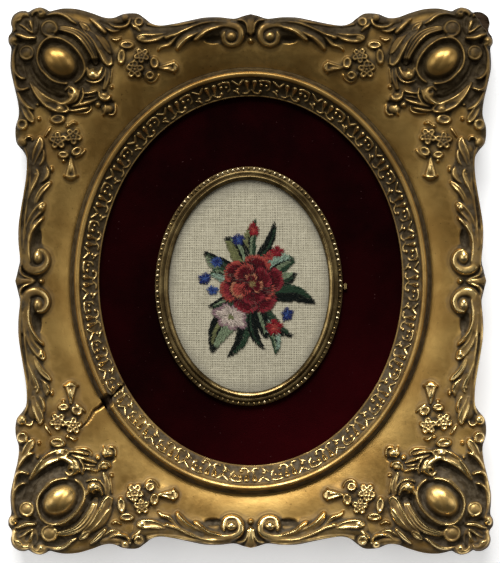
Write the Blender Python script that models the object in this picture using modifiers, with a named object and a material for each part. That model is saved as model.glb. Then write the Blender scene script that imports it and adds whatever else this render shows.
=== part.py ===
"""A small framed needlepoint, lying on its back.

A moulded gilt frame with rococo corners holds a velvet mount behind an oval
sight. A brass bezel on the velvet holds an oval of even-weave linen. X is the
picture's width, Y its height and +Z its face. The origin is the middle of the
back face.
"""

import math

import bmesh
import bpy
from mathutils import Vector

MM = 0.001
GAP = 0.3

# Driving dimensions, in millimetres
SIGHT_HALF = (59.3, 72.15)
REBATE_MARGIN = 4.7
REBATE_DEPTH = 6.2
RIM_FOOT = 11.3
PANEL_LOW = 11.0
PANEL_RISE = 4.0
PANEL_SCOOP = 22.0
EDGE_INSET = 0.7
BACK_INSET = 3.0
BACK_SPARE = 1.2

BOARD_THICKNESS = 3.0
MOUNT_THICKNESS = 2.4
MOUNT_CLEARANCE = 1.0

BEZEL_CENTRE = (-0.75, -2.05)
BEZEL_HALF = (36.7, 46.8)
BEZEL_WIDTH = 4.5
BEZEL_HEIGHT = 3.4
BEZEL_LIP = 1.5
BEZEL_SEAT = -0.9
KNUCKLE_RADIUS = 0.7
KNUCKLE_LENGTH = 2.4
LINEN_THICKNESS = 1.2
LINEN_CROWN = 0.5
RING_STEPS = 72

VOXEL = 0.6
KEPT_SHARE = 0.018

MATERIALS = {
    "gilt_composition": ((0.36, 0.235, 0.085), 0.38, 0.85),
    "brass": ((0.55, 0.38, 0.16), 0.3, 1.0),
    "velvet": ((0.055, 0.004, 0.008), 0.9, 0.0),
    "linen": ((0.68, 0.62, 0.5), 0.85, 0.0),
    "backing_board": ((0.2, 0.13, 0.075), 0.8, 0.0),
}

# One quarter of the frame's outer edge, from the right-hand middle round the corner to the top middle.
# Columns: x, y
OUTLINE = [
    (91.6, 0.0), (90.6, 4.5), (89.8, 8.5), (90.4, 15.0), (90.4, 21.0), (89.5, 27.5),
    (88.3, 34.5), (87.3, 41.5), (87.2, 47.5), (88.6, 50.5), (91.2, 54.0), (91.6, 59.5),
    (90.3, 64.5), (90.6, 69.5), (92.0, 75.5), (93.6, 82.5), (93.5, 89.0), (94.2, 93.5),
    (93.4, 98.0), (92.8, 103.0), (88.5, 105.2), (84.5, 105.8), (81.8, 106.6), (78.0, 105.8),
    (72.5, 106.3), (67.5, 105.9), (62.0, 104.4), (57.0, 102.6), (53.5, 102.4), (49.5, 104.0),
    (44.5, 104.2), (41.5, 102.5), (38.5, 100.2), (35.0, 99.4), (30.0, 100.1), (24.0, 101.4),
    (18.0, 102.6), (12.0, 102.7), (6.5, 102.2), (3.0, 103.2), (0.0, 103.8),
]

# The moulding round the oval, from the foot of its rim inwards to the sight edge.
# Columns: distance outside the sight, height
RIM = [
    (11.3, 11.0), (10.8, 12.4), (10.3, 13.8), (9.7, 14.5), (9.1, 14.3), (8.6, 14.4),
    (8.0, 13.8), (7.4, 12.4), (6.6, 11.9), (5.9, 12.3), (5.2, 11.7), (3.4, 10.0),
    (1.7, 8.5), (1.2, 8.2), (0.7, 8.3), (0.2, 8.0), (0.0, 7.5),
]

# Ridges of the carving in one quarter. Each row is a point on a ridge's middle line.
# Columns: x, y, lift over the ground, radius
RIDGES = {
    "side volute": [
        (89.9, 17.0, 0.6, 1.0), (89.7, 10.0, 0.9, 1.1), (87.6, 4.2, 1.2, 1.1), (83.3, 2.0, 1.4, 1.1),
        (79.4, 4.6, 1.5, 1.1), (79.0, 9.0, 1.6, 1.0), (82.0, 11.8, 1.8, 1.0), (85.6, 9.6, 2.0, 0.9),
        (85.0, 6.0, 2.2, 0.9), (82.4, 6.2, 2.4, 0.9),
    ],
    "side outer edge": [
        (89.7, 12.0, 0.2, 1.1), (89.7, 18.0, 0.3, 1.4), (89.0, 26.0, 0.3, 1.4), (87.6, 34.0, 0.3, 1.3),
        (86.6, 41.5, 0.3, 1.2), (86.4, 47.5, 0.3, 1.2), (87.6, 51.0, 0.3, 1.0),
    ],
    "side spine": [
        (87.4, 12.0, 1.0, 0.9), (87.6, 19.0, 1.4, 1.1), (86.4, 27.0, 1.4, 1.1), (84.6, 34.5, 1.2, 1.1),
        (83.3, 40.5, 0.9, 1.2),
    ],
    "side leaf one": [
        (86.3, 13.0, 1.1, 0.8), (85.6, 18.0, 1.3, 0.9), (83.9, 21.5, 1.2, 0.9), (81.6, 24.0, 0.9, 0.6),
    ],
    "side leaf two": [
        (87.5, 20.0, 0.9, 0.8), (85.6, 25.0, 1.3, 1.1), (83.0, 27.4, 1.3, 1.3), (80.3, 28.2, 0.8, 1.2),
    ],
    "side leaf three": [
        (84.6, 28.5, 0.9, 0.7), (82.4, 33.0, 1.2, 1.0), (79.9, 36.2, 1.0, 1.0), (78.3, 37.4, 0.6, 0.7),
    ],
    "side leaf four": [
        (84.8, 33.0, 0.8, 0.8), (82.6, 37.2, 1.2, 1.2), (79.9, 40.8, 1.0, 1.3), (77.4, 43.6, 0.5, 0.8),
    ],
    "side leaf five": [
        (86.0, 39.0, 0.7, 0.9), (85.0, 44.5, 1.2, 1.3), (83.5, 49.5, 1.2, 1.5), (82.7, 51.8, 0.8, 1.2),
    ],
    "side leaf six": [
        (82.0, 44.0, 0.6, 0.7), (80.9, 47.5, 0.8, 0.9), (80.2, 50.4, 0.5, 0.6),
    ],
    "side trumpet": [
        (84.2, 0.0, 0.9, 0.8), (86.5, 0.0, 1.3, 1.2), (88.5, 0.0, 1.4, 1.8), (90.0, 0.0, 0.9, 2.1),
    ],
    "end volute": [
        (13.0, 101.0, 0.6, 1.0), (6.4, 101.4, 0.9, 1.1), (2.9, 97.0, 1.2, 1.1), (3.6, 92.8, 1.4, 1.1),
        (7.6, 91.2, 1.5, 1.1), (11.0, 93.6, 1.6, 1.0), (10.6, 97.2, 1.8, 1.0), (7.2, 98.0, 2.0, 0.9),
        (5.9, 95.2, 2.2, 0.9), (8.0, 94.2, 2.4, 0.9),
    ],
    "end outer edge": [
        (8.0, 101.2, 0.2, 1.1), (14.0, 101.6, 0.3, 1.4), (20.0, 101.0, 0.3, 1.4), (27.0, 99.5, 0.3, 1.3),
        (33.0, 98.5, 0.3, 1.2), (38.5, 98.9, 0.3, 1.2), (41.5, 100.8, 0.3, 1.0),
    ],
    "end leaf one": [
        (8.5, 98.6, 1.0, 0.8), (14.0, 98.2, 1.3, 1.0), (18.8, 96.3, 1.3, 1.0), (22.6, 93.2, 0.8, 0.7),
    ],
    "end leaf two": [
        (14.5, 100.0, 0.8, 0.8), (21.0, 97.8, 1.3, 1.1), (25.8, 94.0, 1.4, 1.3), (29.3, 90.0, 0.8, 1.2),
    ],
    "end leaf three": [
        (21.5, 100.0, 0.7, 0.8), (27.5, 97.0, 1.2, 1.1), (31.5, 93.2, 1.2, 1.1), (36.4, 89.2, 0.7, 0.9),
    ],
    "end trumpet": [
        (0.0, 96.2, 0.9, 0.8), (0.0, 98.6, 1.3, 1.2), (0.0, 100.6, 1.4, 1.8), (0.0, 102.2, 0.9, 2.1),
    ],
    "corner inner band": [
        (86.0, 89.0, 0.8, 0.9), (86.4, 82.0, 1.2, 1.0), (83.4, 76.6, 1.5, 1.0), (78.4, 72.8, 1.6, 1.0),
        (73.0, 70.8, 1.4, 0.9),
    ],
    "corner lower band": [
        (78.0, 97.0, 0.8, 0.9), (71.5, 97.2, 1.2, 1.0), (65.6, 93.8, 1.5, 1.0), (61.2, 88.2, 1.6, 1.0),
        (59.6, 83.4, 1.4, 0.9),
    ],
    "corner outer edge": [
        (90.6, 67.0, 0.3, 1.0), (91.2, 74.0, 0.4, 1.3), (92.4, 82.0, 0.4, 1.3), (92.2, 88.5, 0.4, 1.1),
    ],
    "corner bottom edge": [
        (54.0, 101.2, 0.3, 1.0), (61.0, 102.8, 0.4, 1.3), (67.5, 104.4, 0.4, 1.3), (75.0, 104.6, 0.4, 1.1),
    ],
    "edge leaf one": [
        (91.0, 72.0, 0.6, 0.9), (89.3, 66.5, 1.2, 1.1), (86.0, 62.4, 1.0, 1.0),
    ],
    "edge leaf two": [
        (91.6, 78.5, 0.6, 0.9), (89.4, 71.0, 1.2, 1.1), (85.6, 67.0, 1.0, 1.0),
    ],
    "edge leaf three": [
        (92.4, 85.5, 0.6, 0.9), (90.6, 78.0, 1.2, 1.1), (86.8, 75.2, 1.0, 0.9),
    ],
    "bottom leaf one": [
        (66.0, 103.2, 0.6, 0.9), (58.5, 97.4, 1.2, 1.1), (54.6, 95.4, 1.0, 1.0), (50.8, 97.4, 0.7, 0.9),
    ],
    "bottom leaf two": [
        (67.0, 99.4, 0.6, 0.9), (60.6, 94.2, 1.2, 1.1), (55.8, 88.6, 0.9, 0.9),
    ],
    "upper curl": [
        (74.5, 66.6, 1.2, 0.9), (69.4, 66.4, 1.4, 1.0), (66.4, 70.0, 1.6, 1.0), (67.0, 74.2, 1.8, 1.0),
        (70.6, 75.2, 2.0, 0.9), (71.6, 72.2, 2.2, 0.9),
    ],
    "lower curl": [
        (55.0, 84.6, 1.2, 0.9), (57.2, 78.4, 1.4, 1.0), (61.4, 76.8, 1.6, 1.0), (64.2, 79.6, 1.8, 1.0),
        (62.4, 82.6, 2.0, 0.9), (59.8, 81.6, 2.2, 0.9),
    ],
    "corner flute one": [
        (83.0, 94.0, 1.0, 1.1), (87.6, 96.6, 1.4, 1.4), (91.4, 97.6, 0.8, 1.2),
    ],
    "corner flute two": [
        (82.4, 96.0, 1.0, 1.1), (85.6, 99.8, 1.4, 1.4), (87.6, 102.8, 0.8, 1.2),
    ],
    "sprig stem": [
        (66.0, 68.0, 0.5, 0.7), (61.5, 67.4, 0.7, 0.9), (57.5, 70.4, 0.6, 0.7), (57.0, 77.0, 0.5, 0.7),
    ],
}

# Hollow leaves: a raised lip runs up one side, round the tip and down the other.
# Columns: root x, root y, middle x, middle y, tip x, tip y, half width
HOLLOW_LEAVES = [
    (85.0, 75.6, 79.6, 69.4, 73.6, 65.8, 1.7),
    (66.6, 96.8, 60.0, 90.2, 55.2, 83.8, 1.6),
    (29.0, 97.4, 36.5, 95.4, 44.2, 94.0, 1.9),
    (78.4, 61.4, 74.8, 61.8, 71.2, 61.6, 1.9),
    (51.2, 91.6, 48.2, 91.8, 45.2, 91.4, 1.4),
    (52.2, 89.4, 51.2, 86.4, 50.2, 83.4, 1.4),
    (75.8, 48.6, 73.2, 48.4, 70.8, 48.0, 1.9),
    (70.4, 48.4, 68.4, 49.4, 66.2, 50.6, 1.9),
    (38.2, 82.2, 39.4, 80.4, 39.8, 78.2, 1.8),
    (37.6, 86.6, 37.6, 84.6, 37.2, 82.6, 1.9),
    (70.6, 46.0, 70.2, 42.4, 70.2, 39.8, 1.6),
    (35.4, 82.6, 32.6, 82.2, 30.2, 82.2, 1.6),
]

# Rounded bosses: beads, balls and berries.
# Columns: x, y, radius, lift over the ground
BOSSES = [
    (81.6, 0.0, 1.1, 1.0),
    (0.0, 93.6, 1.1, 1.0),
    (83.1, 7.6, 1.7, 1.6),
    (7.7, 95.0, 1.7, 1.6),
    (89.0, 54.0, 2.4, 0.5),
    (89.6, 59.2, 2.2, 0.5),
    (44.4, 101.4, 2.4, 0.5),
    (49.8, 101.6, 2.2, 0.5),
    (92.2, 93.4, 2.2, 0.6),
    (89.8, 101.6, 2.8, 0.6),
    (81.6, 103.8, 2.5, 0.6),
    (60.1, 68.2, 1.2, 0.9),
    (57.3, 71.4, 1.5, 0.9),
    (71.4, 59.3, 0.9, 0.8),
]

# Rosettes: five petals round a small heart.
# Columns: x, y, radius, lift over the ground
ROSETTES = [
    (74.9, 53.4, 3.1, 0.6),
    (69.0, 55.3, 2.9, 0.6),
    (45.8, 81.2, 3.3, 0.6),
    (42.5, 87.4, 2.9, 0.6),
    (55.4, 66.0, 2.3, 0.6),
]

# Buttons: flat discs with a rounded edge, on either side of each corner shell
BUTTON_RADIUS = 2.7
BUTTONS = [(87.0, 88.9), (78.2, 98.3)]

# The oval cabochon of each corner, in its raised ring
CABOCHON_CENTRE = (74.3, 85.3)
CABOCHON_HALF = (8.2, 5.7, 5.2)
CABOCHON_RING_HALF = (10.6, 8.4)
CABOCHON_RING_RADIUS = 0.8
CABOCHON_BED_HALF = (12.6, 10.4, 2.2)
CABOCHON_TURN = math.radians(30)


def collection(name):
    """Returns a new collection in the scene."""
    made = bpy.data.collections.new(name)
    bpy.context.scene.collection.children.link(made)
    return made


def material(name):
    """Returns a Principled material with the piece's colour, roughness and metallic value."""
    colour, roughness, metallic = MATERIALS[name]
    made = bpy.data.materials.new(name)
    made.use_nodes = True
    shader = made.node_tree.nodes["Principled BSDF"]
    shader.inputs["Base Color"].default_value = (*colour, 1.0)
    shader.inputs["Roughness"].default_value = roughness
    shader.inputs["Metallic"].default_value = metallic
    return made


def object_from_bmesh(name, shape, target, surface=None):
    """Turns a bmesh in millimetres into a smooth-shaded object in metres."""
    bmesh.ops.scale(shape, vec=(MM, MM, MM), verts=shape.verts)
    mesh = bpy.data.meshes.new(name)
    shape.to_mesh(mesh)
    shape.free()
    mesh.shade_smooth()
    made = bpy.data.objects.new(name, mesh)
    if surface:
        mesh.materials.append(surface)
    if target:
        target.objects.link(made)
    return made


def ellipse_reach(x, y, half_x, half_y):
    """Returns how far an ellipse reaches from the middle towards a point."""
    distance = math.hypot(x, y)
    return distance / math.hypot(x / half_x, y / half_y)


def ground_height(x, y):
    """Returns the height of the scooped panel, which falls towards the oval rim."""
    reach = ellipse_reach(x, y, SIGHT_HALF[0] + RIM_FOOT, SIGHT_HALF[1] + RIM_FOOT)
    share = (math.hypot(x, y) - reach) / PANEL_SCOOP
    share = min(1.0, max(0.0, share))
    return PANEL_LOW + PANEL_RISE * (1.0 - (1.0 - share) ** 2)


def smooth_through(points, steps, closed=False):
    """Returns a Catmull-Rom curve through points of any number of values."""
    count = len(points)
    spans = count if closed else count - 1
    curve = []
    for i in range(spans):
        if closed:
            near = [points[(i + k) % count] for k in (-1, 0, 1, 2)]
        else:
            near = [points[min(count - 1, max(0, i + k))] for k in (-1, 0, 1, 2)]
        for step in range(steps):
            t = step / steps
            weights = (
                0.5 * (-t + 2 * t * t - t ** 3),
                0.5 * (2 - 5 * t * t + 3 * t ** 3),
                0.5 * (t + 4 * t * t - 3 * t ** 3),
                0.5 * (-t * t + t ** 3),
            )
            curve.append(tuple(sum(w * p[k] for w, p in zip(weights, near)) for k in range(len(near[0]))))
    if not closed:
        curve.append(tuple(points[-1]))
    return curve


def frame_outline():
    """Returns the whole outer edge, mirrored from the quarter's table."""
    loop = list(OUTLINE)
    loop += [(-x, y) for x, y in reversed(OUTLINE[:-1])]
    loop += [(-x, -y) for x, y in OUTLINE[1:]]
    loop += [(x, -y) for x, y in reversed(OUTLINE[1:-1])]
    return smooth_through(loop, 2, closed=True)


def frame_rings():
    """Returns the frame's rings of points, from the back outwards, over the face and into the rebate."""
    outline = frame_outline()

    def inset(amount, height):
        ring = []
        for x, y in outline:
            scale = 1.0 - amount / math.hypot(x, y)
            level = ground_height(x, y) if height is None else height
            ring.append((x * scale, y * scale, level))
        return ring

    def oval(margin, height):
        ring = []
        for x, y in outline:
            reach = ellipse_reach(x, y, SIGHT_HALF[0] + margin, SIGHT_HALF[1] + margin)
            scale = reach / math.hypot(x, y)
            ring.append((x * scale, y * scale, height))
        return ring

    def panel(share):
        ring = []
        for (x, y, _), (foot_x, foot_y, _) in zip(inset(2.0, 0.0), oval(RIM_FOOT, 0.0)):
            px = x + (foot_x - x) * share
            py = y + (foot_y - y) * share
            ring.append((px, py, ground_height(px, py)))
        return ring

    rings = [inset(BACK_INSET, -BACK_SPARE), inset(BACK_INSET - 0.6, 1.5), inset(EDGE_INSET, 8.0)]
    rings += [inset(EDGE_INSET, 13.0), inset(1.4, 14.4)]
    rings += [panel(share) for share in (0.0, 0.25, 0.5, 0.65, 0.8, 0.9)]
    rings += [oval(margin, height) for margin, height in RIM]
    rings += [oval(0.0, REBATE_DEPTH), oval(REBATE_MARGIN, REBATE_DEPTH)]
    rings += [oval(REBATE_MARGIN, -BACK_SPARE)]
    return rings


def loft_closed(shape, rings):
    """Joins rings of equal count into one closed band whose last ring meets its first."""
    rows = [[shape.verts.new(point) for point in ring] for ring in rings]
    count = len(rows[0])
    for a, b in zip(rows, rows[1:] + rows[:1]):
        for i in range(count):
            j = (i + 1) % count
            shape.faces.new((a[i], a[j], b[j], b[i]))
    bmesh.ops.recalc_face_normals(shape, faces=shape.faces)


def add_ball(shape, centre, half, turn=0.0):
    """Adds an ellipsoid, turned about the vertical."""
    made = bmesh.ops.create_uvsphere(shape, u_segments=16, v_segments=10, radius=1.0)["verts"]
    cos_turn = math.cos(turn)
    sin_turn = math.sin(turn)
    for vert in made:
        x = vert.co.x * half[0]
        y = vert.co.y * half[1]
        vert.co = Vector((
            centre[0] + x * cos_turn - y * sin_turn,
            centre[1] + x * sin_turn + y * cos_turn,
            centre[2] + vert.co.z * half[2],
        ))


def add_ridge(curves, rows, closed=False):
    """Adds one round ridge to the carving's curve, with its own radius at each point."""
    points = smooth_through(rows, 4, closed)
    spline = curves.splines.new("POLY")
    spline.points.add(len(points) - 1)
    spline.use_cyclic_u = closed
    for target, (x, y, lift, radius) in zip(spline.points, points):
        height = ground_height(x, y) + lift
        target.co = (x * MM, y * MM, height * MM, 1.0)
        target.radius = radius


def hollow_leaf_rows(leaf):
    """Returns the lip of a hollow leaf as the rows of a ridge."""
    root = Vector(leaf[0:2])
    middle = Vector(leaf[2:4])
    tip = Vector(leaf[4:6])
    half = leaf[6]
    across_middle = Vector((-(tip - root).y, (tip - root).x)).normalized() * half
    across_tip = Vector((-(tip - middle).y, (tip - middle).x)).normalized() * half * 0.75
    stops = [root, middle + across_middle, tip + across_tip, tip + (tip - middle).normalized() * half * 0.5,
             tip - across_tip, middle - across_middle, root]
    lifts = (0.5, 1.0, 1.2, 1.2, 1.2, 1.0, 0.5)
    return [(stop.x, stop.y, lift, 0.7) for stop, lift in zip(stops, lifts)]


def carving_ridges():
    """Returns the ridges and leaf lips of one quarter as one curve object."""
    curves = bpy.data.curves.new("carving_ridges", "CURVE")
    curves.dimensions = "3D"
    curves.bevel_depth = MM
    curves.bevel_resolution = 2
    curves.use_fill_caps = True
    for rows in RIDGES.values():
        add_ridge(curves, rows)
    for leaf in HOLLOW_LEAVES:
        add_ridge(curves, hollow_leaf_rows(leaf))
    ring = []
    for step in range(24):
        angle = math.tau * step / 24
        x = CABOCHON_RING_HALF[0] * math.cos(angle)
        y = CABOCHON_RING_HALF[1] * math.sin(angle)
        ring.append((
            CABOCHON_CENTRE[0] + x * math.cos(CABOCHON_TURN) - y * math.sin(CABOCHON_TURN),
            CABOCHON_CENTRE[1] + x * math.sin(CABOCHON_TURN) + y * math.cos(CABOCHON_TURN),
            2.2, CABOCHON_RING_RADIUS,
        ))
    add_ridge(curves, ring, closed=True)
    return bpy.data.objects.new("carving_ridges", curves)


def mirrored_mesh(drawn, target):
    """Mirrors an object into four quarters, removes it and returns the mesh."""
    target.objects.link(drawn)
    mirror = drawn.modifiers.new("four quarters", "MIRROR")
    mirror.use_axis = (True, True, False)
    mirror.use_mirror_merge = False
    mesh = bpy.data.meshes.new_from_object(drawn.evaluated_get(bpy.context.evaluated_depsgraph_get()))
    bpy.data.objects.remove(drawn)
    return mesh


def carving_bosses(shape):
    """Adds the balls, berries, rosettes, buttons and cabochon of one quarter."""
    for x, y, radius, lift in BOSSES:
        add_ball(shape, (x, y, ground_height(x, y) + lift), (radius, radius, radius))
    for x, y, radius, lift in ROSETTES:
        base = ground_height(x, y) + lift
        add_ball(shape, (x, y, base + 0.8), (radius * 0.3, radius * 0.3, 0.9))
        for petal in range(5):
            angle = math.tau * petal / 5
            px = x + radius * 0.62 * math.cos(angle)
            py = y + radius * 0.62 * math.sin(angle)
            add_ball(shape, (px, py, base + 0.3), (radius * 0.4, radius * 0.36, 1.0), angle)
    for x, y in BUTTONS:
        add_ball(shape, (x, y, ground_height(x, y) + 1.2), (BUTTON_RADIUS, BUTTON_RADIUS, 1.6))
    x, y = CABOCHON_CENTRE
    base = ground_height(x, y)
    add_ball(shape, (x, y, base), CABOCHON_BED_HALF, CABOCHON_TURN)
    add_ball(shape, (x, y, base + 1.2), CABOCHON_HALF, CABOCHON_TURN)
    for leaf in HOLLOW_LEAVES:
        mx, my, tx, ty = leaf[2:6]
        cx = (mx + tx) / 2
        cy = (my + ty) / 2
        turn = math.atan2(ty - my, tx - mx)
        long_half = math.hypot(tx - mx, ty - my) / 2 + leaf[6] * 0.6
        add_ball(shape, (cx, cy, ground_height(cx, cy)), (long_half, leaf[6], 0.9), turn)


def back_cutter():
    """A block that trims the frame's back to one flat face."""
    shape = bmesh.new()
    bmesh.ops.create_cube(shape, size=1.0)
    bmesh.ops.scale(shape, vec=(300.0, 300.0, 10.0), verts=shape.verts)
    bmesh.ops.translate(shape, vec=(0.0, 0.0, -5.0), verts=shape.verts)
    made = object_from_bmesh("back_cutter", shape, bpy.data.collections["cutters"])
    made.hide_render = True
    made.display_type = "WIRE"
    return made


def frame_moulding(target, surface):
    """The moulded frame: scooped panel, oval rim, rebate and carved quarters in one solid."""
    bosses = bmesh.new()
    carving_bosses(bosses)
    body = bmesh.new()
    loft_closed(body, frame_rings())
    bmesh.ops.scale(body, vec=(MM, MM, MM), verts=body.verts)
    body.from_mesh(mirrored_mesh(object_from_bmesh("carving_bosses", bosses, None), target))
    body.from_mesh(mirrored_mesh(carving_ridges(), target))
    bmesh.ops.scale(body, vec=(1 / MM, 1 / MM, 1 / MM), verts=body.verts)
    made = object_from_bmesh("frame_moulding", body, target, surface)

    remesh = made.modifiers.new("one solid", "REMESH")
    remesh.mode = "VOXEL"
    remesh.voxel_size = VOXEL * MM
    remesh.use_smooth_shade = True
    soften = made.modifiers.new("soften", "SMOOTH")
    soften.factor = 0.5
    soften.iterations = 2
    thin = made.modifiers.new("fewer faces", "DECIMATE")
    thin.ratio = KEPT_SHARE
    flat = made.modifiers.new("flat back", "BOOLEAN")
    flat.operation = "DIFFERENCE"
    flat.solver = "EXACT"
    flat.object = back_cutter()
    return made


def oval_plate(name, target, surface, half, low, high):
    """A flat oval plate between two heights."""
    shape = bmesh.new()
    bmesh.ops.create_cone(
        shape, cap_ends=True, segments=96, radius1=1.0, radius2=1.0, depth=high - low)
    bmesh.ops.scale(shape, vec=(half[0], half[1], 1.0), verts=shape.verts)
    bmesh.ops.translate(shape, vec=(0, 0, (low + high) / 2), verts=shape.verts)
    made = object_from_bmesh(name, shape, target, surface)
    made.data.set_sharp_from_angle(angle=math.radians(40))
    return made


def swept_ring(name, target, surface, centre, half, low, profile):
    """A ring of constant section: a profile of (outward, up) points carried round an oval path."""
    guides = bpy.data.collections["cutters"]
    section = bpy.data.curves.new(name + "_section", "CURVE")
    section.dimensions = "2D"
    edge = section.splines.new("POLY")
    edge.points.add(len(profile) - 1)
    for point, (outward, up) in zip(edge.points, reversed(profile)):
        point.co = (outward * MM, up * MM, 0.0, 1.0)
    edge.use_cyclic_u = True
    section_object = bpy.data.objects.new(name + "_section", section)
    section_object.hide_render = True
    section_object.display_type = "WIRE"
    guides.objects.link(section_object)

    path = bpy.data.curves.new(name, "CURVE")
    path.dimensions = "3D"
    path.twist_mode = "Z_UP"
    path.bevel_mode = "OBJECT"
    path.bevel_object = section_object
    path.materials.append(surface)
    loop = path.splines.new("POLY")
    loop.points.add(RING_STEPS - 1)
    for step, point in enumerate(loop.points):
        angle = math.tau * step / RING_STEPS
        point.co = (half[0] * math.cos(angle) * MM, half[1] * math.sin(angle) * MM, 0.0, 1.0)
    loop.use_cyclic_u = True
    made = bpy.data.objects.new(name, path)
    made.location = (centre[0] * MM, centre[1] * MM, low * MM)
    target.objects.link(made)
    return made


def bezel(target, surface, low):
    """The brass bezel: a beaded outer edge, a channel, a bright inner ring and a lip that holds the linen."""
    half_width = BEZEL_WIDTH / 2
    seat = BEZEL_SEAT
    profile = [
        (half_width, 0.0), (half_width, 1.0), (2.0, 2.0), (1.3, 2.6), (0.6, 2.2), (-0.6, 2.3),
        (-1.1, 3.1), (-1.6, BEZEL_HEIGHT), (-2.0, 3.1), (-half_width, 2.4), (-half_width, BEZEL_LIP),
        (seat, BEZEL_LIP), (seat, 0.0),
    ]
    half = (BEZEL_HALF[0] - half_width, BEZEL_HALF[1] - half_width)
    return swept_ring("bezel", target, surface, BEZEL_CENTRE, half, low, profile)


def bezel_knuckle(target, surface, low):
    """The small brass knuckle that stands at the bezel's right-hand side."""
    shape = bmesh.new()
    bmesh.ops.create_cone(
        shape, cap_ends=True, segments=16, radius1=KNUCKLE_RADIUS, radius2=KNUCKLE_RADIUS,
        depth=KNUCKLE_LENGTH)
    bmesh.ops.bevel(
        shape, geom=[e for e in shape.edges if abs(e.verts[0].co.z - e.verts[1].co.z) < 0.01],
        offset=0.25, segments=2, affect="EDGES")
    for vert in shape.verts:
        vert.co = Vector((vert.co.x, vert.co.z, vert.co.y))
    bmesh.ops.reverse_faces(shape, faces=shape.faces)
    x = BEZEL_CENTRE[0] + BEZEL_HALF[0] + GAP + KNUCKLE_RADIUS
    bmesh.ops.translate(
        shape, vec=(x, BEZEL_CENTRE[1], low + KNUCKLE_RADIUS), verts=shape.verts)
    return object_from_bmesh("bezel_knuckle", shape, target, surface)


def linen(target, surface, low):
    """The even-weave linen: an oval sheet stretched under the bezel's lip, with a slight crown."""
    half_width = BEZEL_WIDTH / 2
    edge = BEZEL_SEAT - GAP
    half = (BEZEL_HALF[0] - half_width + edge, BEZEL_HALF[1] - half_width + edge)
    shape = bmesh.new()
    rows = []
    levels = [(1.0, 0.0)]
    levels += [(share, LINEN_THICKNESS) for share in (1.0, 0.93, 0.8, 0.6, 0.4, 0.2)]
    for share, height in levels:
        rise = LINEN_CROWN * (1.0 - (share / 0.93) ** 2) if height and share < 0.93 else 0.0
        row = []
        for step in range(RING_STEPS):
            angle = math.tau * step / RING_STEPS
            x = BEZEL_CENTRE[0] + half[0] * share * math.cos(angle)
            y = BEZEL_CENTRE[1] + half[1] * share * math.sin(angle)
            row.append(shape.verts.new((x, y, low + height + rise)))
        rows.append(row)
    for a, b in zip(rows, rows[1:]):
        for i in range(RING_STEPS):
            j = (i + 1) % RING_STEPS
            shape.faces.new((a[i], a[j], b[j], b[i]))
    shape.faces.new(rows[-1])
    shape.faces.new(reversed(rows[0]))
    bmesh.ops.recalc_face_normals(shape, faces=shape.faces)
    return object_from_bmesh("linen_ground", shape, target, surface)


def main():
    for thing in list(bpy.data.objects):
        bpy.data.objects.remove(thing)
    parts = collection("framed_needlepoint")
    collection("cutters")
    surfaces = {name: material(name) for name in MATERIALS}
    frame_moulding(parts, surfaces["gilt_composition"])

    rebate_half = [half + REBATE_MARGIN - MOUNT_CLEARANCE for half in SIGHT_HALF]
    oval_plate("back_board", parts, surfaces["backing_board"], rebate_half, 0.0, BOARD_THICKNESS)
    mount_low = BOARD_THICKNESS + GAP
    mount_high = mount_low + MOUNT_THICKNESS
    oval_plate("velvet_mount", parts, surfaces["velvet"], rebate_half, mount_low, mount_high)

    face = mount_high + GAP
    bezel(parts, surfaces["brass"], face)
    bezel_knuckle(parts, surfaces["brass"], face)
    linen(parts, surfaces["linen"], face)


main()
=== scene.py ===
# %% [markdown]
# # A small framed needlepoint
# The picture lies on its back: X is its width, Y its height and +Z comes out of its face. A moulded
# gilt frame holds a dark red velvet mount, a brass bezel and an oval of linen with a worked rose spray.
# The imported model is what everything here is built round, so the script starts by loading it and
# never moves it.

# %% Load the fixed frame
import math

import bpy
import numpy as np
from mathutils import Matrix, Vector, noise
from mathutils.geometry import delaunay_2d_cdt


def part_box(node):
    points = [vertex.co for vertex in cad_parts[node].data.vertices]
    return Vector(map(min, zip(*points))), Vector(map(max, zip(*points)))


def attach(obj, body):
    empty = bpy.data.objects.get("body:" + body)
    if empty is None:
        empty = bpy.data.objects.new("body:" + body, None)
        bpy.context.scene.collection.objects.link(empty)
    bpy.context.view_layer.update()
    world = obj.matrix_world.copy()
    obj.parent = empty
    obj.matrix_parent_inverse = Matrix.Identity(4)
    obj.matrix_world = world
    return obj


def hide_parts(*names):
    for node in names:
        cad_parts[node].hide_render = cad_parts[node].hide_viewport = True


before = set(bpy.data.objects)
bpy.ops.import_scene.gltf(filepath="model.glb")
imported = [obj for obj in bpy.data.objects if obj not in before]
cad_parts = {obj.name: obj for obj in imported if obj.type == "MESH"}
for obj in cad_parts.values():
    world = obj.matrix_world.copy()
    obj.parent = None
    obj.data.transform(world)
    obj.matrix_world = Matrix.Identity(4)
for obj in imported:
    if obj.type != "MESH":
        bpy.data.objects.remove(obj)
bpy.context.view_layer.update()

MM = 0.001

# %% [markdown]
# The photograph looks straight down on the picture. A long lens far above keeps the edges of the
# deep frame from spreading, as they would close up. One pixel of the photograph is 0.39 mm, and the
# frame's middle lies a little off the middle of the picture.

# %% Camera
PHOTO_SIZE = (500, 563)
MM_PER_PIXEL = 0.39
OBJECT_MIDDLE_PIXEL = (250.75, 281.0)
CAMERA_HEIGHT = 1.6
FOCUS_HEIGHT = 0.012

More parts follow.
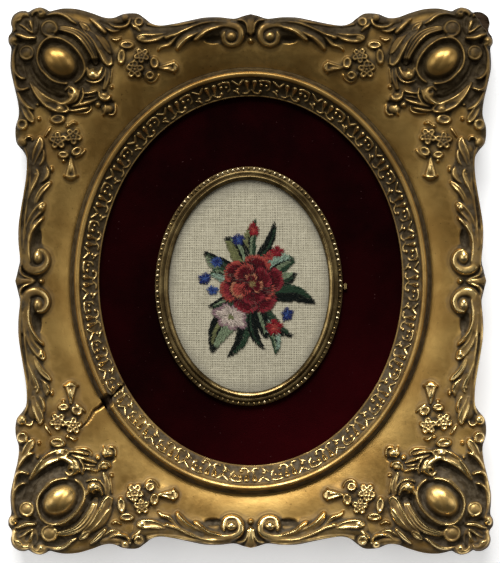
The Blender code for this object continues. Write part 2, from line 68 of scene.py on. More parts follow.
camera_data = bpy.data.cameras.new("photo_camera")
camera_data.sensor_width = 36.0
photo_height = PHOTO_SIZE[1] * MM_PER_PIXEL * MM
camera_data.lens = camera_data.sensor_width * (CAMERA_HEIGHT - FOCUS_HEIGHT) / photo_height
camera = bpy.data.objects.new("photo_camera", camera_data)
bpy.context.scene.collection.objects.link(camera)
camera.location = (
    (PHOTO_SIZE[0] / 2 - OBJECT_MIDDLE_PIXEL[0]) * MM_PER_PIXEL * MM,
    (OBJECT_MIDDLE_PIXEL[1] - PHOTO_SIZE[1] / 2) * MM_PER_PIXEL * MM,
    CAMERA_HEIGHT,
)
bpy.context.scene.camera = camera
print("lens in mm:", round(camera_data.lens, 1))

# %% [markdown]
# The relief of the frame is sculpted as a height field: a fine grid of heights over one quarter of
# the frame, in millimetres. The scooped panel is the ground, and every ridge, leaf and bead of the
# ornament is one stroke of a carver's tool laid on it. A stroke takes a smooth line through a few
# points, a width, a height and a cross section. Plain primitives could not flow into each other as
# moulded composition does, and this way the whole quarter stays one skin.

# %% The ground: a scooped panel between the outer edge and the oval rim
# Sizes and heights are in millimetres from here on
SIGHT_HALF = (59.3, 72.15)
RIM_FOOT = 11.3
PANEL_LOW = 11.0
PANEL_RISE = 4.0
PANEL_SCOOP = 22.0
FOOT_HALF = (SIGHT_HALF[0] + RIM_FOOT, SIGHT_HALF[1] + RIM_FOOT)
GRID_STEP = 0.2
# The grid reaches a little over the quarter's two straight sides, and past its outer edge
GRID_START = -2.0
GRID_END = (97.0, 109.0)

grid_x = np.arange(GRID_START, GRID_END[0], GRID_STEP)
grid_y = np.arange(GRID_START, GRID_END[1], GRID_STEP)
field_x, field_y = np.meshgrid(grid_x, grid_y)


def ground_height(x, y):
    """Height of the scooped panel, which falls towards the oval rim."""
    distance = np.hypot(x, y) + 1e-9
    reach = distance / np.hypot(x / FOOT_HALF[0], y / FOOT_HALF[1])
    share = np.clip((distance - reach) / PANEL_SCOOP, 0, 1)
    return PANEL_LOW + PANEL_RISE * (1 - (1 - share) ** 2)


def smooth_through(points, steps=8):
    """A flowing curve through points of any number of values."""
    last = len(points) - 1
    curve = []
    for i in range(last):
        near = [points[min(last, max(0, i + k))] for k in (-1, 0, 1, 2)]
        for t in (step / steps for step in range(steps)):
            weights = (
                0.5 * (-t + 2 * t * t - t ** 3),
                0.5 * (2 - 5 * t * t + 3 * t ** 3),
                0.5 * (t + 4 * t * t - 3 * t ** 3),
                0.5 * (-t * t + t ** 3),
            )
            curve.append([sum(w * p[k] for w, p in zip(weights, near)) for k in range(len(near[0]))])
    curve.append(list(points[-1]))
    return np.array(curve)


print("grid points:", field_x.size, "deepest ground:", round(float(ground_height(FOOT_HALF[0], 0.0)), 2))

# %% [markdown]
# A tool's cross section decides how a stroke catches the light. "round" is a plain bead, "cup" is a
# leaf with two raised lips and a deep dish between them, and "dish_left" and "dish_right" raise one
# thin lip on the line itself and let a dish fall slowly away to that side, as overlapping leaves do.
# "ribbon" is nearly flat, "reeded" carries fine ridges, and "mass" is a soft swelling.

# %% The tools
LIP = 0.2
# The share of the half width that stands for well outside a stroke, and the least half width in mm
FAR_OFF = 9.0
LEAST_WIDTH = 0.05


def rounded_off(s, share):
    """1 over the middle of a stroke, falling to 0 over the last share of its half width."""
    return np.clip((1 - np.abs(s)) / share, 0, 1) ** 0.5


def dish(s):
    """A lip at 0 that falls slowly to 1 and steeply the other way."""
    slow = (0.5 + 0.42 * np.clip(1 - s, 0, 1) ** 1.8) * rounded_off(s, 0.16)
    fast = np.sqrt(np.clip(1 - (s / LIP) ** 2, 0, 1))
    return np.where(s > 0, np.maximum(slow, fast), fast)


TOOLS = {
    "round": lambda s: np.sqrt(1 - s * s),
    "cup": lambda s: (0.6 + 0.4 * np.clip(np.abs(s) / 0.76, 0, 1) ** 2) * rounded_off(s, 0.24),
    "ribbon": lambda s: (0.75 + 0.25 * (1 - s * s)) * rounded_off(s, 0.4),
    "dish_left": dish,
    "dish_right": lambda s: dish(-s),
    "reeded": lambda s: (0.78 + 0.22 * np.cos(s * 3.5 * math.pi)) * rounded_off(s, 0.12),
    "mass": lambda s: 0.5 + 0.5 * np.cos(np.pi * np.abs(s)),
}
print("tools:", ", ".join(TOOLS))


# %% Lay a stroke on the grid
def near_line(line, x, y):
    """For every point: its share of the half width off the line, with a sign, and the height there."""
    nearest = np.full(x.shape, FAR_OFF)
    signed = np.full(x.shape, FAR_OFF)
    height = np.zeros(x.shape)
    for a, b in zip(line[:-1], line[1:]):
        run = b[:2] - a[:2]
        length = float(run @ run) + 1e-12
        t = np.clip(((x - a[0]) * run[0] + (y - a[1]) * run[1]) / length, 0, 1)
        off_x = x - a[0] - t * run[0]
        off_y = y - a[1] - t * run[1]
        width = np.maximum(a[2] + t * (b[2] - a[2]), LEAST_WIDTH)
        share = np.hypot(off_x, off_y) / width
        side = np.sign(run[0] * off_y - run[1] * off_x)
        closer = share < nearest
        nearest[closer] = share[closer]
        signed[closer] = (share * np.where(side == 0, 1, side))[closer]
        height[closer] = (a[3] + t * (b[3] - a[3]))[closer]
    return signed, height


def window_of(line, xs, ys):
    """The slice of the grid that a line and its width cover."""
    reach = line[:, 2].max()
    rows = np.searchsorted(ys, (line[:, 1].min() - reach, line[:, 1].max() + reach))
    columns = np.searchsorted(xs, (line[:, 0].min() - reach, line[:, 0].max() + reach))
    return slice(*rows), slice(*columns)


def carve(top, xs, ys, strokes, shift=(0.0, 0.0)):
    """Lays strokes on a height field. Each has a tool, heights at its start, middle and end, and rows."""
    mesh_x, mesh_y = np.meshgrid(xs, ys)
    for tool, heights, rows in strokes:
        shares = np.linspace(0, 1, len(rows))
        rise = np.interp(shares, (0, 0.5, 1), heights)
        line = smooth_through([(x + shift[0], y + shift[1], w, h) for (x, y, w), h in zip(rows, rise)])
        area = window_of(line, xs, ys)
        signed, height = near_line(line, mesh_x[area], mesh_y[area])
        inside = np.abs(signed) < 1
        cover = np.where(inside, height * TOOLS[tool](np.clip(signed, -1, 1)), 0)
        top[area] = np.maximum(top[area], cover)


print("a bead's section:", [round(float(TOOLS["round"](s)), 2) for s in (0.0, 0.5, 1.0)])


# %% Round shapes, and a blur
def heading(degrees):
    """The step of length 1 that points at an angle."""
    return math.cos(math.radians(degrees)), math.sin(math.radians(degrees))


def oval_share(xs, ys, x, y, half_x, half_y, degrees=0.0):
    """Share of the way from an oval's middle (0) to its edge (1), over the grid."""
    cos, sin = heading(degrees)
    mesh_x, mesh_y = np.meshgrid(xs - x, ys - y)
    along = (mesh_x * cos + mesh_y * sin) / half_x
    across = (mesh_y * cos - mesh_x * sin) / half_y
    return np.hypot(along, across)


def dome(top, share, height, power=0.5):
    """Raises an oval dome."""
    np.maximum(top, np.where(share < 1, height * np.clip(1 - share ** 2, 0, 1) ** power, 0), out=top)


def dished(top, share, height):
    """Raises an oval with a rim and a hollow middle."""
    rim = np.sqrt(np.clip(1 - ((share - 0.74) / 0.26) ** 2, 0, 1))
    floor = np.where(share < 0.74, 0.55 + 0.45 * (share / 0.74) ** 2.4, 0)
    np.maximum(top, height * np.maximum(rim * (share < 1), floor), out=top)


def button(top, share, height):
    """Raises a disc with a rounded lip and a swelling inside it."""
    lip = np.sqrt(np.clip(1 - ((share - 0.82) / 0.18) ** 2, 0, 1))
    middle = np.where(share < 0.8, 0.6 + 0.42 * (1 - (share / 0.8) ** 2), 0)
    np.maximum(top, height * np.maximum(lip, middle), out=top)


def blurred(field, spread):
    """The field softened by a spread in millimetres."""
    reach = int(3 * spread / GRID_STEP) + 1
    kernel = np.exp(-0.5 * (np.arange(-reach, reach + 1) * GRID_STEP / spread) ** 2)
    kernel /= kernel.sum()

    def along(row):
        return np.convolve(np.pad(row, reach, mode="edge"), kernel, "valid")

    return np.apply_along_axis(along, 1, np.apply_along_axis(along, 0, field))


print("share at an oval's edge:", oval_share(np.array([3.0]), np.array([0.0]), 0, 0, 3.0, 2.0)[0, 0])

# %% [markdown]
# The ornament of one quarter, read off the photograph with the frame's middle as the origin: x runs
# out to the side and y out to the end. A stroke is a tool, its height at the start, the middle and
# the end, and rows of x, y and half width. The masses come first, as the broad swellings that the
# leaves are cut on. The places were read at the lower left, and a small shift centres each group
# between the lower left and the lower right, which differ by a millimetre or two.

# %% Masses under the ornament
SIDE_SHIFT = (0.0, 0.5)
END_SHIFT = (-0.4, 0.3)
CORNER_SHIFT = (-0.5, 0.4)
SIDE_SPRAY_SHIFT = (-0.1, 1.0)
END_SPRAY_SHIFT = (-0.5, 0.3)
MASSES = [
    ("mass", (0.9, 1.2, 1.0), [
        (86.0, 4.0, 7.0), (86.8, 20.0, 7.0), (84.5, 36.0, 7.5), (84.6, 50.0, 7.5)]),
    ("mass", (0.9, 1.2, 1.0), [
        (4.0, 98.0, 7.0), (18.0, 98.5, 7.0), (34.0, 96.0, 7.5), (46.0, 97.5, 8.0)]),
    ("mass", (1.0, 1.6, 1.4), [
        (87.0, 60.0, 8.0), (84.0, 72.0, 12.0), (79.0, 86.0, 15.0), (84.0, 98.0, 12.0)]),
    ("mass", (1.0, 1.5, 1.8), [(52.0, 98.0, 8.0), (60.0, 93.0, 11.0), (70.0, 90.0, 15.0)]),
    ("mass", (1.2, 1.2, 1.2), [(66.0, 71.0, 8.0), (62.0, 76.0, 8.0)]),
    ("mass", (0.5, 0.8, 0.8), [(71.0, 42.0, 3.6), (71.5, 50.0, 6.5), (72.5, 60.0, 8.0)]),
    ("mass", (0.5, 0.8, 0.8), [(33.0, 82.5, 3.6), (41.0, 83.0, 6.5), (50.0, 88.0, 8.0)]),
]
# Flat bodies that join the leaves of a scroll
LONG_BODIES = [
    ("ribbon", (1.0, 1.1, 0.9), [
        (86.7, 13.0, 2.2), (86.0, 20.0, 2.7), (85.2, 28.0, 2.9), (84.2, 35.0, 3.0), (83.2, 42.0, 3.6),
        (83.6, 51.0, 3.4)]),
    ("ribbon", (1.0, 1.1, 0.9), [
        (12.0, 99.4, 1.9), (20.0, 98.6, 2.5), (28.0, 97.4, 2.7), (36.0, 96.2, 3.0), (43.0, 96.6, 3.0)]),
]
print("masses:", len(MASSES) + len(LONG_BODIES))

# %% Strokes of the side scroll and the end scroll
SIDE_SCROLL = [
    ("ribbon", (3.0, 2.9, 1.8), [
        (82.8, 11.6, 0.6), (81.0, 11.1, 1.2), (79.8, 9.6, 1.5), (79.3, 7.5, 1.6), (80.0, 5.5, 1.8),
        (81.6, 4.1, 2.1), (84.0, 3.6, 2.3), (86.4, 4.6, 2.3), (87.6, 7.2, 2.3), (88.0, 11.0, 2.1),
        (88.2, 15.0, 1.9), (88.0, 19.0, 1.6)]),
    ("round", (2.9, 2.9, 2.4), [
        (85.7, 6.8, 0.35), (86.2, 10.3, 0.5), (86.3, 14.5, 0.5), (85.8, 17.8, 0.5), (84.1, 21.2, 0.5)]),
    ("round", (2.9, 2.1, 1.5), [
        (89.2, 5.6, 0.4), (89.5, 9.5, 0.7), (89.7, 14.0, 0.8), (89.8, 20.0, 0.8), (89.4, 26.5, 0.8),
        (88.5, 31.8, 0.8), (87.5, 36.8, 0.8), (86.9, 41.0, 0.75), (86.8, 45.5, 0.7), (87.1, 48.8, 0.6),
        (88.0, 51.2, 0.5)]),
    ("round", (2.7, 2.2, 1.4), [
        (88.5, 12.0, 0.5), (88.3, 16.0, 0.6), (88.0, 20.0, 0.6), (87.8, 24.0, 0.55), (86.8, 31.0, 0.5),
        (85.9, 38.0, 0.45), (85.6, 46.0, 0.4)]),
    ("dish_right", (2.2, 3.1, 2.9), [
        (87.0, 10.2, 0.6), (86.3, 13.3, 1.3), (85.8, 16.0, 1.8), (84.9, 18.7, 2.0), (83.2, 21.2, 1.8),
        (80.8, 23.9, 1.0)]),
    ("round", (2.0, 2.9, 2.9), [
        (85.6, 17.0, 0.3), (84.2, 20.0, 0.45), (82.4, 22.4, 0.6), (80.9, 23.8, 0.45)]),
    ("cup", (1.6, 2.3, 2.7), [
        (87.2, 15.0, 0.6), (86.8, 19.5, 1.0), (85.5, 23.2, 1.4), (83.5, 26.0, 1.8), (81.9, 27.8, 1.8),
        (80.9, 29.2, 1.2)]),
    ("cup", (1.8, 2.8, 2.7), [
        (83.9, 29.2, 0.5), (82.9, 32.0, 0.9), (81.3, 34.6, 1.1), (79.5, 36.5, 1.1), (78.2, 37.8, 0.7)]),
    ("dish_right", (1.8, 2.7, 2.3), [
        (87.2, 28.5, 0.5), (86.3, 32.0, 1.3), (85.0, 35.0, 1.8), (83.7, 37.4, 1.9), (82.8, 39.6, 1.8),
        (82.4, 41.4, 1.4), (83.0, 42.8, 0.8)]),
    ("dish_right", (1.8, 2.7, 2.2), [
        (81.8, 37.6, 0.6), (80.2, 38.6, 1.7), (79.0, 40.0, 2.4), (78.5, 41.6, 2.4), (78.8, 43.2, 1.4)]),
    ("round", (1.6, 2.3, 1.8), [
        (82.0, 44.6, 0.4), (80.9, 46.2, 0.6), (80.4, 48.4, 0.7), (80.5, 50.4, 0.4)]),
    ("cup", (1.6, 2.4, 2.4), [
        (84.6, 45.0, 0.7), (83.8, 48.0, 1.4), (82.6, 51.0, 1.8), (81.9, 53.2, 1.5), (82.0, 54.8, 0.8)]),
    ("round", (2.0, 2.0, 1.6), [
        (87.8, 54.6, 0.4), (86.8, 55.5, 0.45), (85.4, 55.4, 0.45), (84.9, 54.2, 0.4)]),
    ("ribbon", (2.4, 2.8, 2.0), [
        (84.6, -0.5, 1.0), (86.8, -0.5, 1.2), (89.0, -0.5, 1.6), (91.6, -0.5, 2.4)]),
    ("round", (2.4, 3.2, 2.4), [
        (84.8, 0.4, 0.4), (86.6, 0.9, 0.55), (88.4, 1.6, 0.6), (89.4, 2.9, 0.6), (89.6, 4.4, 0.45),
        (89.4, 5.6, 0.35)]),
]
END_SCROLL = [
    ("ribbon", (3.0, 2.9, 0.6), [
        (10.7, 96.4, 0.6), (11.0, 94.6, 1.2), (10.4, 92.8, 1.25), (9.1, 91.8, 1.15), (7.4, 91.6, 1.1),
        (5.5, 92.5, 1.35), (4.3, 94.6, 1.6), (4.5, 97.0, 1.75), (6.4, 98.7, 1.8), (10.2, 99.6, 1.7),
        (15.0, 99.9, 1.5), (21.0, 99.6, 1.1), (26.0, 98.9, 0.7)]),
    ("round", (1.5, 1.9, 1.5), [
        (8.4, 101.2, 0.5), (13.0, 101.6, 0.8), (18.0, 101.2, 0.8), (24.0, 100.2, 0.8),
        (30.0, 99.2, 0.8), (36.0, 98.9, 0.8), (40.5, 99.6, 0.7)]),
    ("round", (2.5, 2.5, 1.9), [
        (33.2, 94.3, 0.8), (31.3, 95.0, 0.7), (29.4, 95.6, 0.55), (27.1, 96.7, 0.55),
        (24.8, 97.8, 0.55), (22.0, 99.0, 0.5), (19.0, 100.0, 0.5), (15.5, 100.5, 0.45),
        (11.0, 100.5, 0.4), (6.5, 99.8, 0.35)]),
    ("dish_left", (1.8, 2.7, 2.8), [
        (8.5, 98.7, 0.5), (11.5, 98.6, 1.0), (14.2, 98.1, 1.3), (16.8, 97.2, 1.5), (19.2, 95.8, 1.6),
        (20.8, 94.3, 1.4), (22.1, 93.5, 0.8)]),
    ("round", (2.1, 2.9, 2.9), [
        (13.0, 98.3, 0.4), (17.0, 97.0, 0.6), (19.4, 95.5, 0.85), (21.2, 94.0, 0.85), (22.3, 93.5, 0.5)]),
    ("dish_left", (1.6, 2.5, 2.6), [
        (19.0, 97.4, 0.5), (22.5, 95.6, 1.5), (25.0, 94.3, 2.0), (27.4, 92.4, 2.0), (29.0, 90.4, 0.9)]),
    ("round", (1.8, 2.8, 2.8), [
        (20.4, 96.6, 0.35), (22.5, 95.3, 0.55), (24.5, 94.4, 0.8), (26.3, 93.0, 1.0), (27.9, 91.4, 1.1),
        (28.9, 90.1, 0.8)]),
    ("dish_left", (2.0, 2.6, 2.2), [
        (27.6, 95.6, 0.5), (29.4, 94.2, 1.1), (30.9, 92.4, 1.5), (32.2, 91.2, 1.5), (33.8, 90.8, 1.3),
        (35.3, 90.3, 1.0), (36.2, 89.4, 0.6)]),
    ("cup", (1.8, 2.6, 2.7), [
        (34.0, 95.5, 0.7), (36.4, 94.6, 1.4), (39.2, 94.1, 1.8), (41.8, 94.1, 1.9), (43.6, 94.2, 1.3)]),
    ("round", (1.8, 2.6, 1.8), [
        (43.4, 96.8, 0.4), (44.6, 98.0, 0.7), (45.9, 98.8, 0.7), (46.6, 99.8, 0.4)]),
    ("ribbon", (2.4, 2.8, 2.2), [
        (0.4, 96.2, 1.1), (0.4, 98.2, 1.3), (0.4, 100.2, 1.8), (0.4, 102.4, 2.6)]),
    ("round", (2.6, 3.1, 2.0), [
        (1.6, 96.3, 0.35), (1.8, 98.2, 0.4), (2.3, 99.9, 0.45), (3.5, 101.0, 0.45), (5.4, 101.3, 0.35)]),
]
print("scroll strokes:", len(SIDE_SCROLL) + len(END_SCROLL))

# %% Strokes of the corner: the cabochon's ring and the leaves above it
CABOCHON = (74.3, 85.3)
CABOCHON_TURN = 38
STONE_HALF = (7.5, 5.35)
CORNER = [
    ("round", (3.0, 3.1, 3.0), [
        (68.8, 76.8, 0.5), (66.9, 78.2, 0.6), (65.4, 80.4, 0.6), (65.0, 82.6, 0.6), (65.7, 85.4, 0.6),
        (67.3, 88.2, 0.6), (69.3, 90.5, 0.6), (71.6, 92.3, 0.6), (74.2, 93.7, 0.6), (77.0, 94.2, 0.6),
        (79.8, 93.6, 0.6), (81.9, 91.6, 0.6), (83.2, 88.6, 0.6), (83.4, 85.2, 0.6), (82.2, 82.1, 0.6),
        (80.2, 79.9, 0.6), (78.1, 77.9, 0.6), (75.4, 76.7, 0.55), (72.4, 76.3, 0.5)]),
    ("cup", (1.4, 2.5, 2.3), [
        (89.8, 70.6, 0.5), (88.9, 67.8, 1.1), (87.6, 65.2, 1.6), (86.3, 63.2, 1.7), (85.5, 61.9, 1.0)]),
    ("round", (1.8, 2.9, 2.6), [
        (91.0, 72.6, 0.5), (89.5, 69.7, 0.75), (87.6, 67.5, 0.85), (85.3, 66.4, 0.5)]),
    ("cup", (1.9, 3.0, 2.8), [
        (86.0, 76.6, 0.6), (83.6, 73.0, 1.4), (80.8, 70.2, 2.0), (77.8, 68.2, 2.4), (74.8, 67.0, 2.4),
        (72.4, 66.4, 1.5)]),
    # two low swellings in the trough beside the long leaf
    ("mass", (0.3, 0.4, 0.3), [
        (88.6, 82.6, 0.7), (86.2, 77.0, 0.8), (81.2, 72.6, 0.8), (75.0, 69.8, 0.7)]),
    ("mass", (0.3, 0.4, 0.3), [
        (87.4, 84.6, 0.7), (84.9, 79.2, 0.8), (80.6, 74.8, 0.8), (74.6, 71.8, 0.7)]),
    # the curled fingers of the outer side, and the rib behind them
    ("round", (1.6, 2.8, 2.4), [
        (92.3, 78.5, 0.5), (92.1, 76.2, 0.7), (91.2, 74.6, 0.75), (89.5, 73.9, 0.75), (87.1, 74.6, 0.5)]),
    ("round", (1.4, 2.4, 2.4), [
        (92.4, 84.0, 0.4), (92.3, 81.8, 0.55), (91.3, 79.7, 0.6), (89.8, 78.5, 0.65), (88.4, 78.3, 0.4)]),
    ("round", (1.2, 1.9, 1.6), [
        (90.2, 66.5, 0.6), (90.8, 71.0, 0.8), (91.9, 76.0, 0.9), (92.8, 80.5, 0.9), (93.0, 85.0, 0.8),
        (92.5, 89.0, 0.7), (91.3, 92.0, 0.6)]),
    # the curl over the ring, with its frills
    ("round", (2.6, 3.5, 2.6), [
        (75.6, 68.2, 0.8), (72.9, 68.6, 1.2), (70.5, 69.9, 1.4), (69.1, 72.0, 1.4), (69.4, 74.2, 1.1),
        (71.2, 75.2, 0.6)]),
    ("round", (2.0, 2.8, 2.2), [
        (70.9, 68.3, 0.35), (68.7, 69.5, 0.5), (67.5, 71.4, 0.55), (66.9, 73.8, 0.45)]),
    ("round", (1.6, 2.4, 1.9), [
        (69.6, 67.7, 0.35), (67.5, 68.5, 0.5), (66.2, 70.2, 0.55), (65.6, 72.2, 0.5), (66.0, 74.6, 0.4)]),
    ("round", (2.0, 2.3, 1.8), [(72.6, 73.8, 0.5), (71.3, 75.0, 0.8), (69.8, 75.2, 0.6)]),
    # the lower curl
    ("round", (2.4, 3.3, 2.4), [
        (64.0, 82.3, 0.7), (63.4, 80.0, 1.25), (61.9, 78.9, 1.4), (60.2, 79.3, 1.2), (59.0, 80.8, 0.95),
        (58.3, 82.6, 0.6)]),
    ("round", (1.8, 2.6, 1.8), [
        (64.3, 77.5, 0.4), (61.8, 76.8, 0.5), (59.4, 77.3, 0.55), (57.9, 78.9, 0.5), (57.2, 81.0, 0.45),
        (57.0, 82.8, 0.35)]),
    ("round", (1.8, 2.2, 1.8), [(61.2, 77.8, 0.3), (59.4, 78.5, 0.4), (58.3, 80.4, 0.35)]),
    # the broad reeded leaf and the hollow leaves under it
    ("reeded", (1.8, 2.5, 1.7), [
        (60.8, 84.6, 1.2), (61.5, 87.4, 1.7), (62.8, 90.0, 2.0), (64.3, 92.4, 2.1), (66.2, 94.6, 2.0),
        (68.8, 96.4, 1.7), (72.5, 97.6, 1.4), (75.2, 97.9, 1.0)]),
    ("dish_right", (2.0, 3.1, 2.7), [
        (66.3, 97.5, 0.6), (64.7, 96.1, 1.6), (62.9, 94.3, 2.6), (61.4, 92.3, 3.2), (60.3, 90.2, 3.4),
        (59.1, 87.9, 3.4), (58.2, 85.8, 3.2), (57.3, 84.5, 2.8), (56.0, 83.4, 1.8), (54.7, 83.7, 0.9)]),
    ("dish_right", (1.6, 2.6, 2.5), [
        (63.2, 97.2, 0.6), (60.9, 95.2, 1.6), (59.4, 93.4, 2.2), (58.2, 91.7, 2.4), (56.8, 89.6, 2.2),
        (55.5, 88.1, 1.1)]),
    ("round", (2.0, 1.6, 1.4), [(54.5, 84.2, 0.4), (54.7, 86.2, 0.4), (55.2, 88.0, 0.35)]),
    ("cup", (1.8, 2.4, 2.0), [(67.0, 99.9, 0.5), (65.2, 98.6, 1.2), (63.8, 97.5, 0.9)]),
    ("round", (1.6, 2.7, 2.6), [
        (62.8, 101.5, 0.5), (60.7, 99.8, 1.0), (59.1, 98.2, 1.2), (57.2, 96.3, 0.9)]),
    ("dish_right", (1.6, 2.5, 2.2), [
        (59.0, 99.8, 0.5), (57.3, 98.3, 1.4), (55.6, 97.0, 2.0), (53.8, 96.4, 1.8), (51.6, 96.8, 0.9)]),
    ("round", (1.5, 2.0, 1.5), [(54.6, 93.9, 0.3), (52.9, 93.2, 0.55), (51.0, 94.2, 0.3)]),
    ("round", (1.8, 2.8, 2.2), [
        (56.8, 100.8, 0.5), (55.4, 99.5, 0.6), (53.6, 98.5, 0.7), (51.2, 98.2, 0.75),
        (49.2, 98.7, 0.75), (48.0, 99.8, 0.65), (47.4, 101.4, 0.5)]),
    ("round", (1.6, 2.4, 1.8), [
        (79.8, 103.0, 0.5), (77.0, 103.6, 0.75), (74.2, 103.3, 0.75), (72.0, 102.2, 0.75),
        (70.4, 100.9, 0.65), (68.4, 99.7, 0.4)]),
]
print("corner strokes:", len(CORNER))

# %% The shell at the corner, the sprig beside the curl, and the flower sprays
CORNER += [
    ("round", (2.6, 2.8, 1.9), [
        (84.3, 94.1, 0.6), (87.6, 94.1, 1.0), (90.2, 95.1, 0.9), (92.1, 95.6, 0.5)]),
    ("round", (2.3, 2.4, 1.8), [(85.3, 96.1, 0.4), (87.9, 97.7, 0.6), (90.5, 99.3, 0.4)]),
    ("round", (1.6, 2.2, 1.6), [(85.3, 96.7, 0.3), (85.9, 98.8, 0.8), (86.3, 100.6, 0.6)]),
    ("round", (2.0, 2.3, 2.0), [
        (92.6, 96.8, 0.8), (92.6, 99.2, 1.3), (91.9, 101.4, 1.5), (89.8, 102.9, 1.5),
        (87.4, 103.2, 1.1)]),
    ("round", (1.8, 2.3, 2.0), [
        (86.0, 103.4, 0.8), (84.2, 104.6, 1.2), (82.2, 104.8, 1.4), (80.6, 103.8, 1.0)]),
    ("round", (2.2, 2.6, 2.3), [
        (91.8, 97.2, 0.35), (92.5, 98.8, 0.4), (92.4, 100.4, 0.4), (90.9, 100.8, 0.4),
        (89.9, 101.6, 0.4), (89.4, 102.8, 0.4), (88.1, 103.4, 0.4), (86.9, 102.4, 0.35)]),
    ("round", (2.2, 2.6, 2.2), [
        (85.5, 102.7, 0.35), (84.6, 104.2, 0.4), (83.3, 104.4, 0.4), (82.3, 102.8, 0.35)]),
    # the sprig
    ("round", (1.6, 2.5, 2.0), [
        (72.2, 66.0, 0.4), (69.0, 65.9, 0.7), (66.0, 66.4, 0.75), (63.8, 67.0, 0.5)]),
    ("round", (1.2, 1.9, 1.2), [
        (68.8, 64.9, 0.3), (66.0, 64.8, 0.4), (63.9, 65.2, 0.4), (62.6, 66.4, 0.35), (62.8, 67.8, 0.3)]),
    ("round", (1.6, 2.5, 1.6), [
        (70.2, 67.3, 0.4), (67.4, 67.9, 0.6), (64.9, 68.7, 0.8), (62.9, 69.3, 0.75), (60.6, 70.3, 0.4)]),
    ("round", (1.4, 2.1, 1.5), [
        (66.0, 72.8, 0.4), (64.0, 72.6, 0.6), (62.3, 72.9, 0.6), (60.4, 73.6, 0.4)]),
    ("round", (1.4, 1.7, 1.3), [(65.0, 70.7, 0.3), (63.2, 71.3, 0.4), (61.0, 71.5, 0.3)]),
    ("round", (1.8, 2.7, 2.0), [
        (59.5, 73.0, 0.5), (59.2, 71.3, 0.7), (57.9, 70.3, 0.95), (56.2, 70.3, 0.85), (55.3, 71.6, 0.6)]),
    ("round", (1.8, 2.3, 1.8), [(57.8, 64.2, 0.35), (57.0, 66.2, 0.6), (57.2, 68.2, 0.4)]),
    ("round", (1.8, 2.2, 1.6), [
        (55.8, 64.3, 0.35), (54.2, 64.4, 0.45), (53.3, 65.5, 0.45), (53.2, 67.6, 0.35)]),
    ("cup", (1.6, 2.3, 1.8), [
        (56.0, 82.8, 0.6), (56.1, 80.0, 1.0), (56.7, 77.0, 1.0), (57.6, 74.4, 0.6)]),
    ("round", (1.3, 1.7, 1.4), [(54.5, 82.2, 0.3), (54.8, 78.8, 0.35), (55.2, 76.6, 0.3)]),
]
SIDE_SPRAY = [
    ("cup", (1.6, 2.5, 2.6), [
        (70.1, 46.6, 0.5), (70.1, 44.4, 1.0), (70.1, 42.0, 1.7), (70.1, 40.2, 2.2)]),
    ("round", (2.5, 2.8, 2.5), [(72.6, 39.9, 0.45), (70.1, 39.5, 0.55), (67.6, 39.9, 0.45)]),
    ("round", (1.8, 2.3, 2.3), [(70.1, 44.4, 0.4), (70.1, 42.8, 0.7), (70.1, 41.4, 0.6)]),
    ("round", (1.6, 2.1, 1.4), [(68.3, 46.9, 0.35), (66.2, 48.1, 0.45), (64.6, 50.0, 0.35)]),
    ("round", (1.6, 2.1, 1.6), [(70.3, 59.8, 0.35), (69.0, 60.7, 0.55), (67.7, 60.3, 0.35)]),
    ("round", (1.6, 2.0, 1.6), [(77.8, 62.5, 0.4), (76.0, 62.3, 0.6), (74.6, 62.4, 0.4)]),
    ("round", (1.3, 1.8, 1.3), [(80.2, 55.2, 0.3), (79.0, 57.1, 0.5), (78.0, 58.6, 0.3)]),
]
END_SPRAY = [
    ("cup", (1.6, 2.5, 2.5), [
        (36.6, 82.9, 0.5), (34.4, 82.8, 1.0), (32.2, 82.9, 1.7), (30.6, 83.0, 2.1)]),
    ("round", (2.4, 2.7, 2.4), [(30.4, 80.8, 0.45), (30.1, 83.0, 0.5), (30.4, 85.0, 0.45)]),
    ("round", (1.8, 2.3, 2.3), [(34.6, 82.4, 0.4), (33.0, 82.4, 0.7), (31.6, 82.5, 0.6)]),
    ("round", (1.1, 1.5, 1.1), [
        (42.2, 80.6, 0.3), (41.3, 78.2, 0.4), (39.4, 77.1, 0.4), (37.3, 78.2, 0.4), (36.4, 80.0, 0.3)]),
    ("round", (1.5, 2.0, 1.5), [(48.3, 84.0, 0.35), (46.6, 85.0, 0.45), (45.3, 86.2, 0.35)]),
]
print("spray strokes:", len(SIDE_SPRAY) + len(END_SPRAY))

